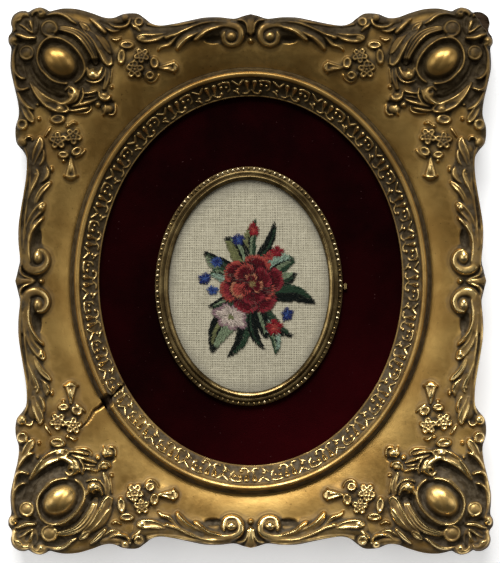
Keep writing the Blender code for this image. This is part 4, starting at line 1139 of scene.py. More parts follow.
# The repeats are spaced along the middle of the band, this far outside the sight
BAND_MIDDLE = 3.2
oval_angles = np.linspace(0, math.tau, 20001)
band_lengths = lengths_along(
    (SIGHT_HALF[0] + BAND_MIDDLE) * np.sin(oval_angles), (SIGHT_HALF[1] + BAND_MIDDLE) * np.cos(oval_angles))
repeat_length = band_lengths[-1] / REPEATS
half_repeat = repeat_length / 2

stamp_x = np.arange(-half_repeat, half_repeat + STAMP_STEP, STAMP_STEP)
stamp_y = np.arange(0, BAND_WIDTH + STAMP_STEP, STAMP_STEP)
stamp = np.zeros((len(stamp_y), len(stamp_x)))
# x runs along the band, and y from the sight outwards
STAMP_STROKES = [
    ("round", (1.0, 0.9, 0.7), [
        (3.4, 5.6, 0.5), (5.0, 6.0, 0.55), (6.8, 5.7, 0.6), (7.7, 4.6, 0.6), (7.6, 3.2, 0.5),
        (6.4, 2.2, 0.35)]),
    ("round", (0.6, 0.9, 0.7), [(0.3, 2.2, 0.3), (1.7, 0.9, 0.4), (3.2, 0.8, 0.45), (4.2, 1.6, 0.35)]),
    ("round", (0.6, 0.9, 0.6), [(-0.3, 1.9, 0.3), (-1.6, 0.8, 0.4), (-3.0, 0.9, 0.4)]),
    ("round", (0.9, 1.1, 0.8), [(-7.0, 6.1, 0.35), (-5.6, 4.9, 0.45), (-4.6, 4.3, 0.35)]),
    ("round", (0.7, 1.0, 0.7), [(-6.8, 2.3, 0.3), (-5.4, 1.5, 0.45), (-4.6, 0.6, 0.35)]),
    ("round", (0.8, 1.1, 0.9), [(-3.0, 6.0, 0.4), (-3.9, 4.9, 0.5), (-4.4, 4.2, 0.4)]),
]
# Small beads. Columns: x, y, radius
STAMP_BEADS = [(3.8, 1.8, 0.7), (4.0, 4.2, 0.7), (-5.2, 2.6, 0.7), (6.0, 4.0, 0.5)]
STAMP_BEAD_HEIGHT = 1.2
for side in (-1, 1):
    reed = [(side * 1.0, 1.6, 0.3), (side * 1.3, 3.4, 0.5), (side * 1.5, 5.2, 0.95)]
    STAMP_STROKES.append(("round", (0.4, 0.9, 1.4), reed))
for x, y, radius in STAMP_BEADS:
    dome(stamp, oval_share(stamp_x, stamp_y, x, y, radius, radius), STAMP_BEAD_HEIGHT)
carve(stamp, stamp_x, stamp_y, STAMP_STROKES)
print("repeat length in mm:", round(repeat_length, 2))

# %% The oval moulding's section
# From the foot of the rim inwards over the bead, the cove, the stamped band and the lip to the sight
# edge, then under the rebate. Columns: distance outside the sight edge, height
RIM_SECTION = [
    (11.3, 11.0), (11.05, 10.9), (10.9, 11.1), (10.7, 11.7), (10.45, 12.4), (10.15, 13.0), (9.8, 13.5),
    (9.55, 13.75), (9.35, 14.1), (9.1, 14.55), (8.75, 14.8), (8.4, 14.78), (8.05, 14.62), (7.7, 14.38),
    (7.48, 14.0), (7.34, 13.3), (7.1, 12.7), (6.8, 12.4), (6.35, 12.0),
]
BAND_START = (6.35, 12.0)
BAND_END = (0.4, 7.95)
BAND_SAG = 0.35
BAND_ROWS = 22
LIP_SECTION = [BAND_END, (0.25, 8.1), (0.12, 8.0), (0.0, 7.5), (0.0, 6.2)]
COLUMNS_A_REPEAT = 44

# each row has its distance and height, and on the band the share of the way across it
rim_rows = [(d, z, None) for d, z in smooth_through(RIM_SECTION, 2)[:-1]]
for share in (row / BAND_ROWS for row in range(BAND_ROWS)):
    d = BAND_START[0] + (BAND_END[0] - BAND_START[0]) * share
    z = BAND_START[1] + (BAND_END[1] - BAND_START[1]) * share - BAND_SAG * math.sin(math.pi * share)
    rim_rows.append((d, z, share))
rim_rows += [(d, z, None) for d, z in LIP_SECTION]

COLUMNS = REPEATS * COLUMNS_A_REPEAT
stops = np.linspace(0, band_lengths[-1], COLUMNS, endpoint=False)
column_angles = np.interp(stops, band_lengths, oval_angles)
along_repeat = (stops + half_repeat) % repeat_length - half_repeat
print("section rows:", len(rim_rows), "columns:", COLUMNS)


# %% Wear and a crack on the oval moulding
# The rim from its foot inwards. Columns: least distance outside the sight edge, how dark, how toned
RIM_WEAR = [(10.5, 0.55, 0.9), (9.5, 0.4, 1.0), (7.45, -0.42, 0.4), (6.3, 0.15, 1.0), (-1.0, -0.35, 0.85)]
# The crack's place at the sight edge, and its run for each millimetre outwards
CRACK_AT_SIGHT = (-49.5, -40.3)
CRACK_RUN = (-0.73, -0.72)
CRACK_DEPTH = 3.6
STAMP_STANDS = 0.95


def sample_stamp(along, share):
    """Height of the stamp at places along the band, on one row at a share of the way in."""
    place = (along + half_repeat) / STAMP_STEP
    column = np.clip(place.astype(int), 0, stamp.shape[1] - 2)
    weight = place - column
    across = (1 - share) * BAND_WIDTH / STAMP_STEP
    row = min(int(across), stamp.shape[0] - 2)
    part = across - row
    low = stamp[row, column] * (1 - weight) + stamp[row, column + 1] * weight
    high = stamp[row + 1, column] * (1 - weight) + stamp[row + 1, column + 1] * weight
    return low * (1 - part) + high * part


def crack_over(x, y, d):
    """How deep the crack is, from 0 to 1, over a ring at a distance outside the sight edge."""
    jag = 0.5 * noise.noise(Vector((d * 0.9, 0.0, 7.0)))
    off_x = x - CRACK_AT_SIGHT[0] - CRACK_RUN[0] * d + jag
    off_y = y - CRACK_AT_SIGHT[1] - CRACK_RUN[1] * d
    gap = 0.5 + 1.6 * min(1.0, max(0.0, d - 6.8))
    return np.clip(1.6 - 1.2 * np.hypot(off_x, off_y) / gap, 0, 1)


print("highest point of the stamp in mm:", round(float(stamp.max()), 2))

# %% Build the oval moulding
# the band is darker where it turns away from the light, at the lower right
darker_side = np.clip(0.8 * np.sin(column_angles) - 0.4 * np.cos(column_angles), 0, 1)
ring_points = []
ring_measures = {"hollow": [], "toned": [], "broken": []}
for d, z, share in rim_rows:
    # angle 0 is the top of the oval, and it runs clockwise
    x = (SIGHT_HALF[0] + d) * np.sin(column_angles)
    y = (SIGHT_HALF[1] + d) * np.cos(column_angles)
    if share is None:
        dark, film = next(wear for least, *wear in RIM_WEAR if d > least)
        level = np.full(COLUMNS, z)
        hollow = np.full(COLUMNS, dark)
        toned = np.full(COLUMNS, film)
    else:
        rise = sample_stamp(along_repeat, share)
        level = z + STAMP_STANDS * rise
        hollow = 0.25 - 1.9 * rise + 0.4 * darker_side
        toned = np.ones(COLUMNS)
    crack = crack_over(x, y, d)
    if z > 6.3:
        level = np.maximum(level - CRACK_DEPTH * crack, 6.4)
    ring_points.append(np.column_stack([x, y, level]))
    for measure, values in (("hollow", hollow), ("toned", toned), ("broken", np.clip(crack * 1.5, 0, 1))):
        ring_measures[measure].append(values)

points = np.vstack(ring_points)
measures = {measure: np.concatenate(values) for measure, values in ring_measures.items()}
moulding_mesh = surface_mesh("oval_moulding", points, band_of_loops(ring_points), measures)
place_piece("oval_moulding", moulding_mesh, gilt)

# %% [markdown]
# The frame's back is plain: the flat underside of the moulding and the rebate that the mount drops
# into. It is drawn as loops from the same outer edge and the same oval, so it closes against the
# outer wall and the sight edge.

# %% The frame's back
REBATE_MARGIN = 4.7
REBATE_DEPTH = 6.2


def whole_outline(inset, height):
    """The whole outer edge at an inset, mirrored from one quarter, thinned to every fourth point."""
    quarter = np.vstack([outline[:-1:4], outline[-1:]])
    loop = np.vstack([
        quarter, quarter[-2::-1] * (-1, 1), quarter[1:] * (-1, -1), quarter[-2:0:-1] * (1, -1)])
    scale = 1 - inset / np.hypot(loop[:, 0], loop[:, 1])
    return np.column_stack([loop * scale[:, None], np.full(len(loop), height)])


def oval_loop(directions, margin, height):
    """An oval at a margin outside the sight edge, in the same directions as another loop."""
    unit = directions[:, :2] / np.hypot(directions[:, 0], directions[:, 1])[:, None]
    reach = 1 / np.hypot(unit[:, 0] / (SIGHT_HALF[0] + margin), unit[:, 1] / (SIGHT_HALF[1] + margin))
    return np.column_stack([unit * reach[:, None], np.full(len(unit), height)])


edge_loop = whole_outline(WALL[-1][0], 0.0)
loops = [
    edge_loop,
    oval_loop(edge_loop, REBATE_MARGIN, 0.0),
    oval_loop(edge_loop, REBATE_MARGIN, REBATE_DEPTH),
    oval_loop(edge_loop, 0.0, REBATE_DEPTH),
]
back_faces = [face[::-1] for face in band_of_loops(loops)]
back_mesh = bpy.data.meshes.new("moulding_back")
back_mesh.from_pydata((np.vstack(loops) * MM).tolist(), [], back_faces)
print("faces of the back:", len(back_faces))

# %% Stained wood for the back
WOOD_DARK = (0.075, 0.045, 0.024)
WOOD_PALE = (0.13, 0.083, 0.046)
WOOD_STAINED = (0.045, 0.028, 0.016)
wood, tree, shader = new_material("stained_back")
place = object_place(tree)
fibre = noise_value(tree, stretched(tree, place, (1.0, 0.12, 1.0)), 1400.0, 5.0)
stain = noise_value(tree, place, 40.0, 4.0)
colour = blend_colours(tree, ramp(tree, fibre, 0.3, 0.7), WOOD_DARK, WOOD_PALE)
colour = blend_colours(tree, ramp(tree, stain, 0.45, 0.7), colour, WOOD_STAINED)
tree.links.new(colour, shader.inputs["Base Color"])
tree.links.new(scaled(tree, fibre, 0.3, 0.55), shader.inputs["Roughness"])
bump(tree, shader, fibre, 0.0002)
place_piece("moulding_back", back_mesh, wood)

# %% [markdown]
# The velvet is stretched over a flat card. Its pile drinks light, so it looks almost black head-on and
# shows its dark red where light grazes the tips. The sheen of the shader gives that, and a soft
# uneven nap keeps it from looking like paint. The card is cut oval, and the cloth turns down over its
# edge, so the piece starts as a disc that is extruded, and two small insets round its rim.

# %% The velvet mount
# The rounded rim: its height, and how far each of its two steps goes in and up
VELVET_RIM_HEIGHT = 0.6
VELVET_RIM = [(0.2, 0.4), (0.5, 0.2)]
VELVET_RINGS = 10
VELVET_RING_STEP = 5.4


def deselect_all():
    """Leaves object mode with nothing selected."""
    if bpy.context.object and bpy.context.object.mode != "OBJECT":
        bpy.ops.object.mode_set(mode="OBJECT")
    bpy.ops.object.select_all(action="DESELECT")


def finish_piece(piece, name, material, replaces):
    """Bakes an object's place into its mesh and makes it a piece."""
    deselect_all()
    piece.select_set(True)
    bpy.context.view_layer.objects.active = piece
    bpy.ops.object.transform_apply(location=True, rotation=True, scale=True)
    piece.name = name
    piece.data.name = name
    piece.data.materials.clear()
    piece.data.materials.append(material)
    return join_frame(piece, replaces)


velvet_low, velvet_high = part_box("velvet_mount")
velvet_half = (velvet_high.x, velvet_high.y)
velvet_thickness = velvet_high.z - velvet_low.z
wall_height = velvet_thickness - VELVET_RIM_HEIGHT * MM

deselect_all()
bpy.ops.mesh.primitive_circle_add(vertices=192, radius=1.0, fill_type="NGON", location=(0, 0, velvet_low.z))
velvet_piece = bpy.context.object
velvet_piece.scale = (velvet_half[0], velvet_half[1], 1.0)
bpy.ops.object.transform_apply(location=False, rotation=False, scale=True)
bpy.ops.object.mode_set(mode="EDIT")
bpy.ops.mesh.select_all(action="SELECT")
bpy.ops.mesh.extrude_region_move(TRANSFORM_OT_translate={"value": (0, 0, wall_height)})
for inset, rise in VELVET_RIM:
    bpy.ops.mesh.inset(thickness=inset * MM)
    bpy.ops.transform.translate(value=(0, 0, rise * MM))
# rings over the face keep its faces from being long slivers
for ring in range(VELVET_RINGS):
    bpy.ops.mesh.inset(thickness=VELVET_RING_STEP * MM)
bpy.ops.object.mode_set(mode="OBJECT")
bpy.ops.object.shade_smooth_by_angle(angle=math.radians(50))
print("faces of the velvet:", len(velvet_piece.data.polygons))

# %% Velvet
VELVET_DEEP = (0.0024, 0.0001, 0.0002)
VELVET_RED = (0.0095, 0.0003, 0.0006)
VELVET_LIT = (0.034, 0.0010, 0.0024)
VELVET_TIP = (0.009, 0.0003, 0.0006)
LINT = (0.16, 0.08, 0.075)
velvet, tree, shader = new_material("dark_red_velvet")
place = object_place(tree)
nap = noise_value(tree, place, 38.0, 4.0, 0.6)
tuft = noise_value(tree, place, 2600.0, 2.0)
lint = ramp(tree, noise_value(tree, place, 1100.0, 1.0), 0.77, 0.82)
colour = blend_colours(tree, ramp(tree, nap, 0.3, 0.72), VELVET_DEEP, VELVET_RED)
# painted light: the velvet is painted lighter and redder towards the lower right
velvet_painted_light = minus(tree, times(tree, axis_value(tree, place, "X"), 0.5), axis_value(tree, place, "Y"))
velvet_painted_light = times(tree, ramp(tree, velvet_painted_light, 0.02, 0.085), scaled(tree, nap, 0.7, 0.2))
colour = blend_colours(tree, velvet_painted_light, colour, VELVET_LIT)
colour = blend_colours(tree, times(tree, tuft, 0.3), colour, VELVET_TIP)
colour = blend_colours(tree, times(tree, lint, 0.25), colour, LINT)
tree.links.new(colour, shader.inputs["Base Color"])
shader.inputs["Roughness"].default_value = 0.95
shader.inputs["Specular IOR Level"].default_value = 0.02
shader.inputs["Sheen Weight"].default_value = 0.18
shader.inputs["Sheen Roughness"].default_value = 0.4
shader.inputs["Sheen Tint"].default_value = (0.5, 0.015, 0.03, 1.0)
bump(tree, shader, plus(tree, tuft, times(tree, nap, 1.5)), 0.0003)

velvet_piece = finish_piece(velvet_piece, "velvet_sheet", velvet, ["velvet_mount"])

# %% [markdown]
# The bezel is pressed brass with a row of small beads on its outer edge. Its section is drawn
# once and carried round the oval. One bead is modelled and copied a hundred and twenty-four times
# into the same mesh, each a little turned, squashed and sunk, as worn beads are. The knuckle and the
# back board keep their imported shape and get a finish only.

# %% Brass
BRASS_TARNISHED = (0.16, 0.105, 0.040)
BRASS_CLEAN = (0.42, 0.305, 0.125)
BRASS_BLACKENED = (0.034, 0.022, 0.010)
BRASS_PAINTED_GLINT = (0.80, 0.66, 0.40)
brass, tree, shader = new_material("aged_brass")
place = object_place(tree)
tarnish = noise_value(tree, place, 160.0, 4.0, 0.6)
blackening_and_painted_shade = attribute(tree, "hollow")
colour = blend_colours(tree, ramp(tree, tarnish, 0.36, 0.7), BRASS_TARNISHED, BRASS_CLEAN)
# blackened brass in the groove, and painted shade where the section's darkness changes round the oval
colour = blend_colours(tree, blackening_and_painted_shade, colour, BRASS_BLACKENED)
# painted highlight: the beads that carry a measure below nothing get a pale painted glint
painted_glint = ramp(tree, blackening_and_painted_shade, -0.05, -0.4)
colour = blend_colours(tree, times(tree, painted_glint, 0.7), colour, BRASS_PAINTED_GLINT)
tree.links.new(colour, shader.inputs["Base Color"])
shader.inputs["Metallic"].default_value = 1.0
dull = plus(tree, times(tree, tarnish, 0.16), times(tree, maths(tree, "MAXIMUM", blackening_and_painted_shade, 0.1), 0.42))
tree.links.new(plus(tree, 0.13, dull), shader.inputs["Roughness"])
bump(tree, shader, noise_value(tree, place, 2200.0, 2.0), 0.00004)
print("nodes of the brass:", len(tree.nodes))


# %% The bezel's section
def plan_oval(low, high):
    """Middle and half size of a box seen from above, in millimetres."""
    middle = ((low.x + high.x) / 2 / MM, (low.y + high.y) / 2 / MM)
    return middle, ((high.x - low.x) / 2 / MM, (high.y - low.y) / 2 / MM)


bezel_low, bezel_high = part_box("bezel")
bezel_centre, bezel_half = plan_oval(bezel_low, bezel_high)
bezel_foot = bezel_low.z / MM
# Columns: inward from the outer edge, up, and how dark it is painted at the upper left and at the lower
# right: blackened in the groove, with painted light and shade that change round the oval
BEZEL_SECTION = [
    (0.0, 0.0, 0.9, 0.9), (0.0, 1.1, 0.8, 0.8), (0.2, 1.3, 0.75, 0.75), (0.8, 1.4, 0.75, 0.8),
    (1.4, 1.4, 0.75, 0.9), (1.6, 1.75, 0.6, 0.75), (1.9, 1.98, 0.5, 0.66), (2.25, 2.05, 0.45, 0.6),
    (2.6, 2.02, 0.5, 0.6), (2.9, 1.92, 0.6, 0.62), (3.1, 1.85, 0.8, 0.66), (3.28, 1.9, 0.85, 0.7),
    (3.38, 2.2, 0.8, 0.66), (3.48, 2.65, 0.7, 0.55), (3.68, 2.9, 0.55, 0.45), (3.98, 3.0, 0.5, 0.15),
    (4.4, 2.86, 0.5, 0.0), (4.8, 2.6, 0.6, 0.15), (5.08, 2.35, 0.75, 0.5), (5.25, 2.05, 0.9, 0.75),
    (5.3, 1.75, 0.95, 0.9), (5.2, 1.6, 1.0, 1.0), (3.4, 1.55, 1.0, 1.0), (3.4, 0.0, 1.0, 1.0),
]
BRIGHT_SIDE = math.radians(-35)
BEADS = 124
SEGMENTS = BEADS * 3
turn = np.linspace(0, math.tau, SEGMENTS, endpoint=False)
painted_light_share = np.clip(0.6 + 0.65 * np.cos(turn - BRIGHT_SIDE), 0, 1)
rings = []
dark = []
for inward, up, dark_at_upper_left, dark_at_lower_right in smooth_through(BEZEL_SECTION, 2):
    rings.append(np.column_stack([
        bezel_centre[0] + (bezel_half[0] - inward) * np.cos(turn),
        bezel_centre[1] + (bezel_half[1] - inward) * np.sin(turn),
        np.full(SEGMENTS, bezel_foot + up),
    ]))
    # painted light and shade: towards the lower right the inner ring is painted brighter and the ridge darker
    dark.append(dark_at_upper_left + (dark_at_lower_right - dark_at_upper_left) * painted_light_share)
ring_count = len(rings) * SEGMENTS
dark = [np.clip(np.concatenate(dark), 0, 1)]
# the section is closed, so the quads after its last ring run back to the first
bezel_faces = [tuple(i % ring_count for i in face) for face in band_of_loops(rings + [rings[0]])]
print("faces of the bezel's ring:", len(bezel_faces))

# %% The beads
BEAD_INSET = 0.8
BEAD_HEIGHT = 1.62
BEAD_SIZE = (1.4, 1.1, 0.75)
# painted highlight: how dark a bead may be at the top, and how dark at the bottom, where fewer beads get a
# painted glint
UPPER_SHADES = [-0.5, -0.5, 0.1, 0.5]
LOWER_SHADES = [-0.45, 0.1, 0.5, 0.6]
deselect_all()
bpy.ops.mesh.primitive_ico_sphere_add(subdivisions=2, radius=0.5)
bead_source = bpy.context.object
bead_points = np.array([tuple(v.co) for v in bead_source.data.vertices])
bead_faces = [tuple(p.vertices) for p in bead_source.data.polygons]
bpy.data.objects.remove(bead_source)

bead_row = (bezel_half[0] - BEAD_INSET, bezel_half[1] - BEAD_INSET)
fine_angles = np.linspace(0, math.tau, 5001)
fine_lengths = lengths_along(bead_row[0] * np.cos(fine_angles), bead_row[1] * np.sin(fine_angles))
bead_angles = np.interp(np.linspace(0, fine_lengths[-1], BEADS, endpoint=False), fine_lengths, fine_angles)
bezel_parts = list(rings)
wobble = np.random.default_rng(3)
for bead, angle in enumerate(bead_angles):
    middle = (
        bezel_centre[0] + bead_row[0] * math.cos(angle), bezel_centre[1] + bead_row[1] * math.sin(angle),
        bezel_foot + BEAD_HEIGHT + wobble.uniform(-0.1, 0.15))
    sizes = (BEAD_SIZE[0] * wobble.uniform(0.85, 1.05), BEAD_SIZE[1] * wobble.uniform(0.8, 1.1), BEAD_SIZE[2])
    facing = math.atan2(math.sin(angle) * bead_row[0], math.cos(angle) * bead_row[1])
    facing += wobble.uniform(-0.2, 0.2)
    cos, sin = math.cos(facing), math.sin(facing)
    bezel_parts.append((bead_points * sizes) @ np.array([(cos, sin, 0), (-sin, cos, 0), (0, 0, 1)]) + middle)
    start = ring_count + bead * len(bead_points)
    bezel_faces += [tuple(i + start for i in face) for face in bead_faces]
    shades = UPPER_SHADES if math.sin(angle) > -0.3 else LOWER_SHADES
    dark.append(np.full(len(bead_points), wobble.choice(shades)))
measures = {"hollow": np.concatenate(dark)}
bezel_mesh = surface_mesh("brass_bezel", np.vstack(bezel_parts), bezel_faces, measures)
place_piece("brass_bezel", bezel_mesh, brass, ["bezel"])
for knuckle_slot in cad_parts["bezel_knuckle"].material_slots:
    knuckle_slot.material = brass

# %% Back board
BOARD_DARK = (0.15, 0.095, 0.05)
BOARD_PALE = (0.27, 0.18, 0.1)
BOARD_STAINED = (0.11, 0.068, 0.036)
board, tree, shader = new_material("fibre_board")
place = object_place(tree)
flecks = noise_value(tree, place, 900.0, 5.0, 0.7)
blotch = noise_value(tree, place, 30.0, 3.0)
colour = blend_colours(tree, ramp(tree, flecks, 0.35, 0.65), BOARD_DARK, BOARD_PALE)
colour = blend_colours(tree, ramp(tree, blotch, 0.5, 0.75), colour, BOARD_STAINED)
tree.links.new(colour, shader.inputs["Base Color"])
tree.links.new(scaled(tree, flecks, 0.25, 0.65), shader.inputs["Roughness"])
bump(tree, shader, flecks, 0.00015)
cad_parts["back_board"].material_slots[0].material = board
print("nodes of the fibre board:", len(tree.nodes))

# %% [markdown]
# The linen is plain even-weave: twenty-eight threads to the inch each way, with small holes where four
# threads meet. Two points of the mesh go to each thread, one on its back and one in the gap, so the
# weave is real relief at the size of the threads, and the shader adds the slubs and painted shade in
# the gaps and holes that are finer than that.

# %% The linen
THREAD = 0.907
LINEN_THICKNESS = 1.2
LINEN_CROWN = 0.4
LINEN_MARGIN = 0.2
# Heights of the weave: on a crossing of two threads, in the gap between four, and on a thread between
CROSSING = 0.09
GAP_DEPTH = 0.12
UNDULATION = 0.045
linen_low, linen_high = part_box("linen_ground")
linen_centre, linen_half = plan_oval(linen_low, linen_high)
LINEN_EDGE_HEIGHT = linen_low.z / MM + LINEN_THICKNESS
across_count = int(2 * linen_half[0] / THREAD) * 2
up_count = int(2 * linen_half[1] / THREAD) * 2


def crown(x, y):
    """Rise of the stretched linen over its edge, for a point measured from the oval's middle."""
    share = np.clip(np.hypot(np.asarray(x) / linen_half[0], np.asarray(y) / linen_half[1]), 0, 1)
    return LINEN_CROWN * (1 - share ** 2)


deselect_all()
bpy.ops.mesh.primitive_grid_add(x_subdivisions=across_count, y_subdivisions=up_count, size=1.0)
linen_piece = bpy.context.object
places = np.array([tuple(v.co) for v in linen_piece.data.vertices])
columns = np.rint((places[:, 0] + 0.5) * across_count).astype(int)
lines = np.rint((places[:, 1] + 0.5) * up_count).astype(int)
x = (columns - across_count / 2) * THREAD / 2
y = (lines - up_count / 2) * THREAD / 2
over = ((columns // 2 + lines // 2) % 2) * 2.0 - 1
on_warp = columns % 2 == 0
on_weft = lines % 2 == 0
weave = np.where(on_warp & on_weft, CROSSING, 0.0) + np.where(~on_warp & ~on_weft, -GAP_DEPTH, 0.0)
weave = weave + UNDULATION * np.where(on_warp ^ on_weft, over, 0.0)
levels = LINEN_EDGE_HEIGHT - GAP_DEPTH + crown(x, y) + weave
shape_points = np.column_stack([linen_centre[0] + x, linen_centre[1] + y, levels])
linen_piece.data.vertices.foreach_set("co", (shape_points * MM).ravel())
print("points of the weave:", len(shape_points))

# %% Cut the linen to its oval
outside = np.hypot(x / (linen_half[0] - LINEN_MARGIN), y / (linen_half[1] - LINEN_MARGIN)) > 1
linen_piece.data.vertices.foreach_set("select", outside)
linen_piece.data.edges.foreach_set("select", np.zeros(len(linen_piece.data.edges), bool))
linen_piece.data.polygons.foreach_set("select", np.zeros(len(linen_piece.data.polygons), bool))
bpy.context.tool_settings.mesh_select_mode = (True, False, False)
bpy.ops.object.mode_set(mode="EDIT")
bpy.ops.mesh.delete(type="VERT")
bpy.ops.object.mode_set(mode="OBJECT")
linen_piece.data.shade_smooth()
print("points inside the oval:", len(linen_piece.data.vertices))

# %% Threads and gaps of the linen
linen, tree, shader = new_material("even_weave_linen")
place = object_place(tree)
along_warp = stretched(tree, place, (1.0, 0.06, 1.0))
along_weft = stretched(tree, place, (0.06, 1.0, 1.0))


def thread_wave(axis, vector, middle):
    """1 on the middle of a thread and 0 in the gap beside it. Each thread wanders a little."""
    wander = wavering(tree, noise_value(tree, vector, 420.0, 2.0), 1.0 * MM)
    off_middle = minus(tree, plus(tree, axis_value(tree, place, axis), wander), middle * MM)
    return maths(tree, "ABSOLUTE", maths(tree, "COSINE", times(tree, off_middle, math.pi / (THREAD * MM))))


warp = thread_wave("X", along_warp, linen_centre[0])
weft = thread_wave("Y", along_weft, linen_centre[1])
slub = plus(tree, noise_value(tree, along_warp, 1500.0, 2.0), noise_value(tree, along_weft, 1500.0, 2.0))
slub = ramp(tree, times(tree, slub, 0.5), 0.38, 0.62)
# painted shade in the holes where four threads meet
hole_shade = ramp(tree, times(tree, minus(tree, 1.0, warp), minus(tree, 1.0, weft)), 0.03, 0.35)
# painted shade in the gaps: here between the upright threads and there between the level ones
apart = ramp(tree, noise_value(tree, place, 75.0, 2.0), 0.42, 0.58)
upright = times(tree, ramp(tree, warp, 0.55, 0.1), apart)
level = times(tree, ramp(tree, weft, 0.55, 0.1), minus(tree, 1.0, apart))
gap = plus(tree, times(tree, hole_shade, 0.58), times(tree, plus(tree, upright, level), 0.13))
packed = ramp(tree, noise_value(tree, place, 620.0, 3.0, 0.7), 0.32, 0.66)
gap = times(tree, gap, plus(tree, 0.3, packed))
print("nodes of the weave:", len(tree.nodes))

# %% Colour and dust of the linen
LINEN_DARK = (0.33, 0.298, 0.207)
LINEN_PALE = (0.44, 0.400, 0.286)
LINEN_KNOT = (0.60, 0.555, 0.415)
LINEN_AGED = (0.36, 0.32, 0.235)
LINEN_HOLE_SHADE = (0.085, 0.072, 0.045)
LINEN_DUST_AND_SHADOW = (0.135, 0.122, 0.092)
# The middle of the band of dust and painted shadow lies a little to the right of and below the oval's own
DUST_AND_SHADOW_SHIFT = (0.7, -0.8)
knots = noise_value(tree, place, 1500.0, 2.0, 0.7)
age = noise_value(tree, place, 45.0, 3.0)
colour = blend_colours(tree, slub, LINEN_DARK, LINEN_PALE)
colour = blend_colours(tree, times(tree, ramp(tree, knots, 0.42, 0.68), 0.4), colour, LINEN_KNOT)
colour = blend_colours(tree, times(tree, ramp(tree, age, 0.45, 0.75), 0.25), colour, LINEN_AGED)
# dust, and the bezel's painted shadow, grey the cloth along the bezel, most of all along the top and left
from_middle = []
for axis, middle, shift, half in zip("XY", linen_centre, DUST_AND_SHADOW_SHIFT, linen_half):
    off_middle = minus(tree, axis_value(tree, place, axis), (middle + shift) * MM)
    from_middle.append(maths(tree, "POWER", times(tree, off_middle, 1 / (half * MM)), 2.0))
border = plus(tree, maths(tree, "SQRT", plus(tree, *from_middle)), wavering(tree, age, 0.16))
border = times(tree, ramp(tree, border, 0.82, 0.97), 0.64)
gap = times(tree, gap, minus(tree, 1.0, border))
# the gaps and holes are painted with shade
colour = blend_colours(tree, times(tree, gap, 0.8), colour, LINEN_HOLE_SHADE)
colour = blend_colours(tree, border, colour, LINEN_DUST_AND_SHADOW)
tree.links.new(colour, shader.inputs["Base Color"])
shader.inputs["Roughness"].default_value = 0.9
shader.inputs["Specular IOR Level"].default_value = 0.2
shader.inputs["Sheen Weight"].default_value = 0.1
bump(tree, shader, plus(tree, maths(tree, "MAXIMUM", warp, weft), times(tree, slub, 0.6)), 0.00014)
linen_piece = finish_piece(linen_piece, "linen_sheet", linen, ["linen_ground"])

# %% [markdown]
# The needlework is long and short stitch in wool and silk. The design is this script's own rose
# spray, drawn with plain shapes: petals, leaves and buds, each with its shades and the slant of its
# stitches. An even pattern of points asks which shape lies on top there, and every point that finds
# one gets a stitch of its shade. A stitch is a short rounded bar of a few faces, a little longer
# than the space between points, so the stitches overlap as real ones do.

# %% Shapes of the spray
# Shades of the threads, as linear red, green and blue
SHADES = {
    "crimson": (0.090, 0.0050, 0.0090), "deep": (0.028, 0.0030, 0.0050), "coral": (0.340, 0.0560, 0.0420),
    "rose": (0.210, 0.0200, 0.0270), "peach": (0.420, 0.1700, 0.0900), "heart": (0.220, 0.1500, 0.0600),
    "black": (0.004, 0.0065, 0.0050), "forest": (0.020, 0.0450, 0.0230), "sage": (0.170, 0.2150, 0.1250),
    "olive": (0.155, 0.1600, 0.0650), "mint": (0.230, 0.3200, 0.2400), "navy": (0.012, 0.0200, 0.1000),
    "blue": (0.040, 0.0750, 0.2200), "mauve": (0.260, 0.1600, 0.1700), "blossom": (0.500, 0.4100, 0.3400),
    "scarlet": (0.210, 0.0100, 0.0160),
}
ROSE_MIDDLE = (1.2, 0.8)


def in_oval(x, y, cx, cy, half_x, half_y, degrees=0.0):
    """How far inside an oval a point is: 1 at its middle and 0 at its edge."""
    cos, sin = heading(degrees)
    dx = x - cx
    dy = y - cy
    along = (dx * cos + dy * sin) / half_x
    across = (dy * cos - dx * sin) / half_y
    return 1 - math.hypot(along, across)


def in_leaf(x, y, x0, y0, x1, y1, half, bend):
    """Share of a leaf's length and signed share of its width at a point, or None outside it."""
    run_x = x1 - x0
    run_y = y1 - y0
    length = math.hypot(run_x, run_y)
    along = ((x - x0) * run_x + (y - y0) * run_y) / length ** 2
    across = ((y - y0) * run_x - (x - x0) * run_y) / length
    if not 0 <= along <= 1:
        return None
    across -= bend * math.sin(math.pi * along ** 1.2)
    width = half * math.sin(math.pi * along ** 0.75) ** 0.8 + 0.25
    if abs(across) > width:
        return None
    return along, across / width


# The rose's petals from the heart outwards. Columns: angle and distance of the petal's middle, half
# breadth, half depth, shade of its rim, shade of its body
PETALS = [
    (95, 2.2, 2.4, 1.8, "peach", "crimson"), (215, 2.4, 2.5, 1.9, "coral", "crimson"),
    (335, 2.5, 2.6, 1.9, "peach", "crimson"), (30, 5.0, 4.2, 3.0, "rose", "crimson"),
    (125, 5.2, 4.4, 3.1, "coral", "crimson"), (200, 5.6, 3.8, 3.2, "peach", "coral"),
    (275, 5.0, 4.4, 3.0, "rose", "crimson"), (335, 6.2, 3.8, 3.2, "coral", "crimson"),
    (75, 7.8, 5.4, 3.6, "coral", "crimson"), (145, 8.2, 4.8, 3.9, "coral", "crimson"),
    (12, 8.8, 4.8, 3.6, "rose", "crimson"), (195, 8.8, 4.6, 3.8, "coral", "rose"),
    (250, 8.0, 5.2, 3.6, "rose", "crimson"), (305, 8.4, 5.0, 3.8, "rose", "crimson"),
]

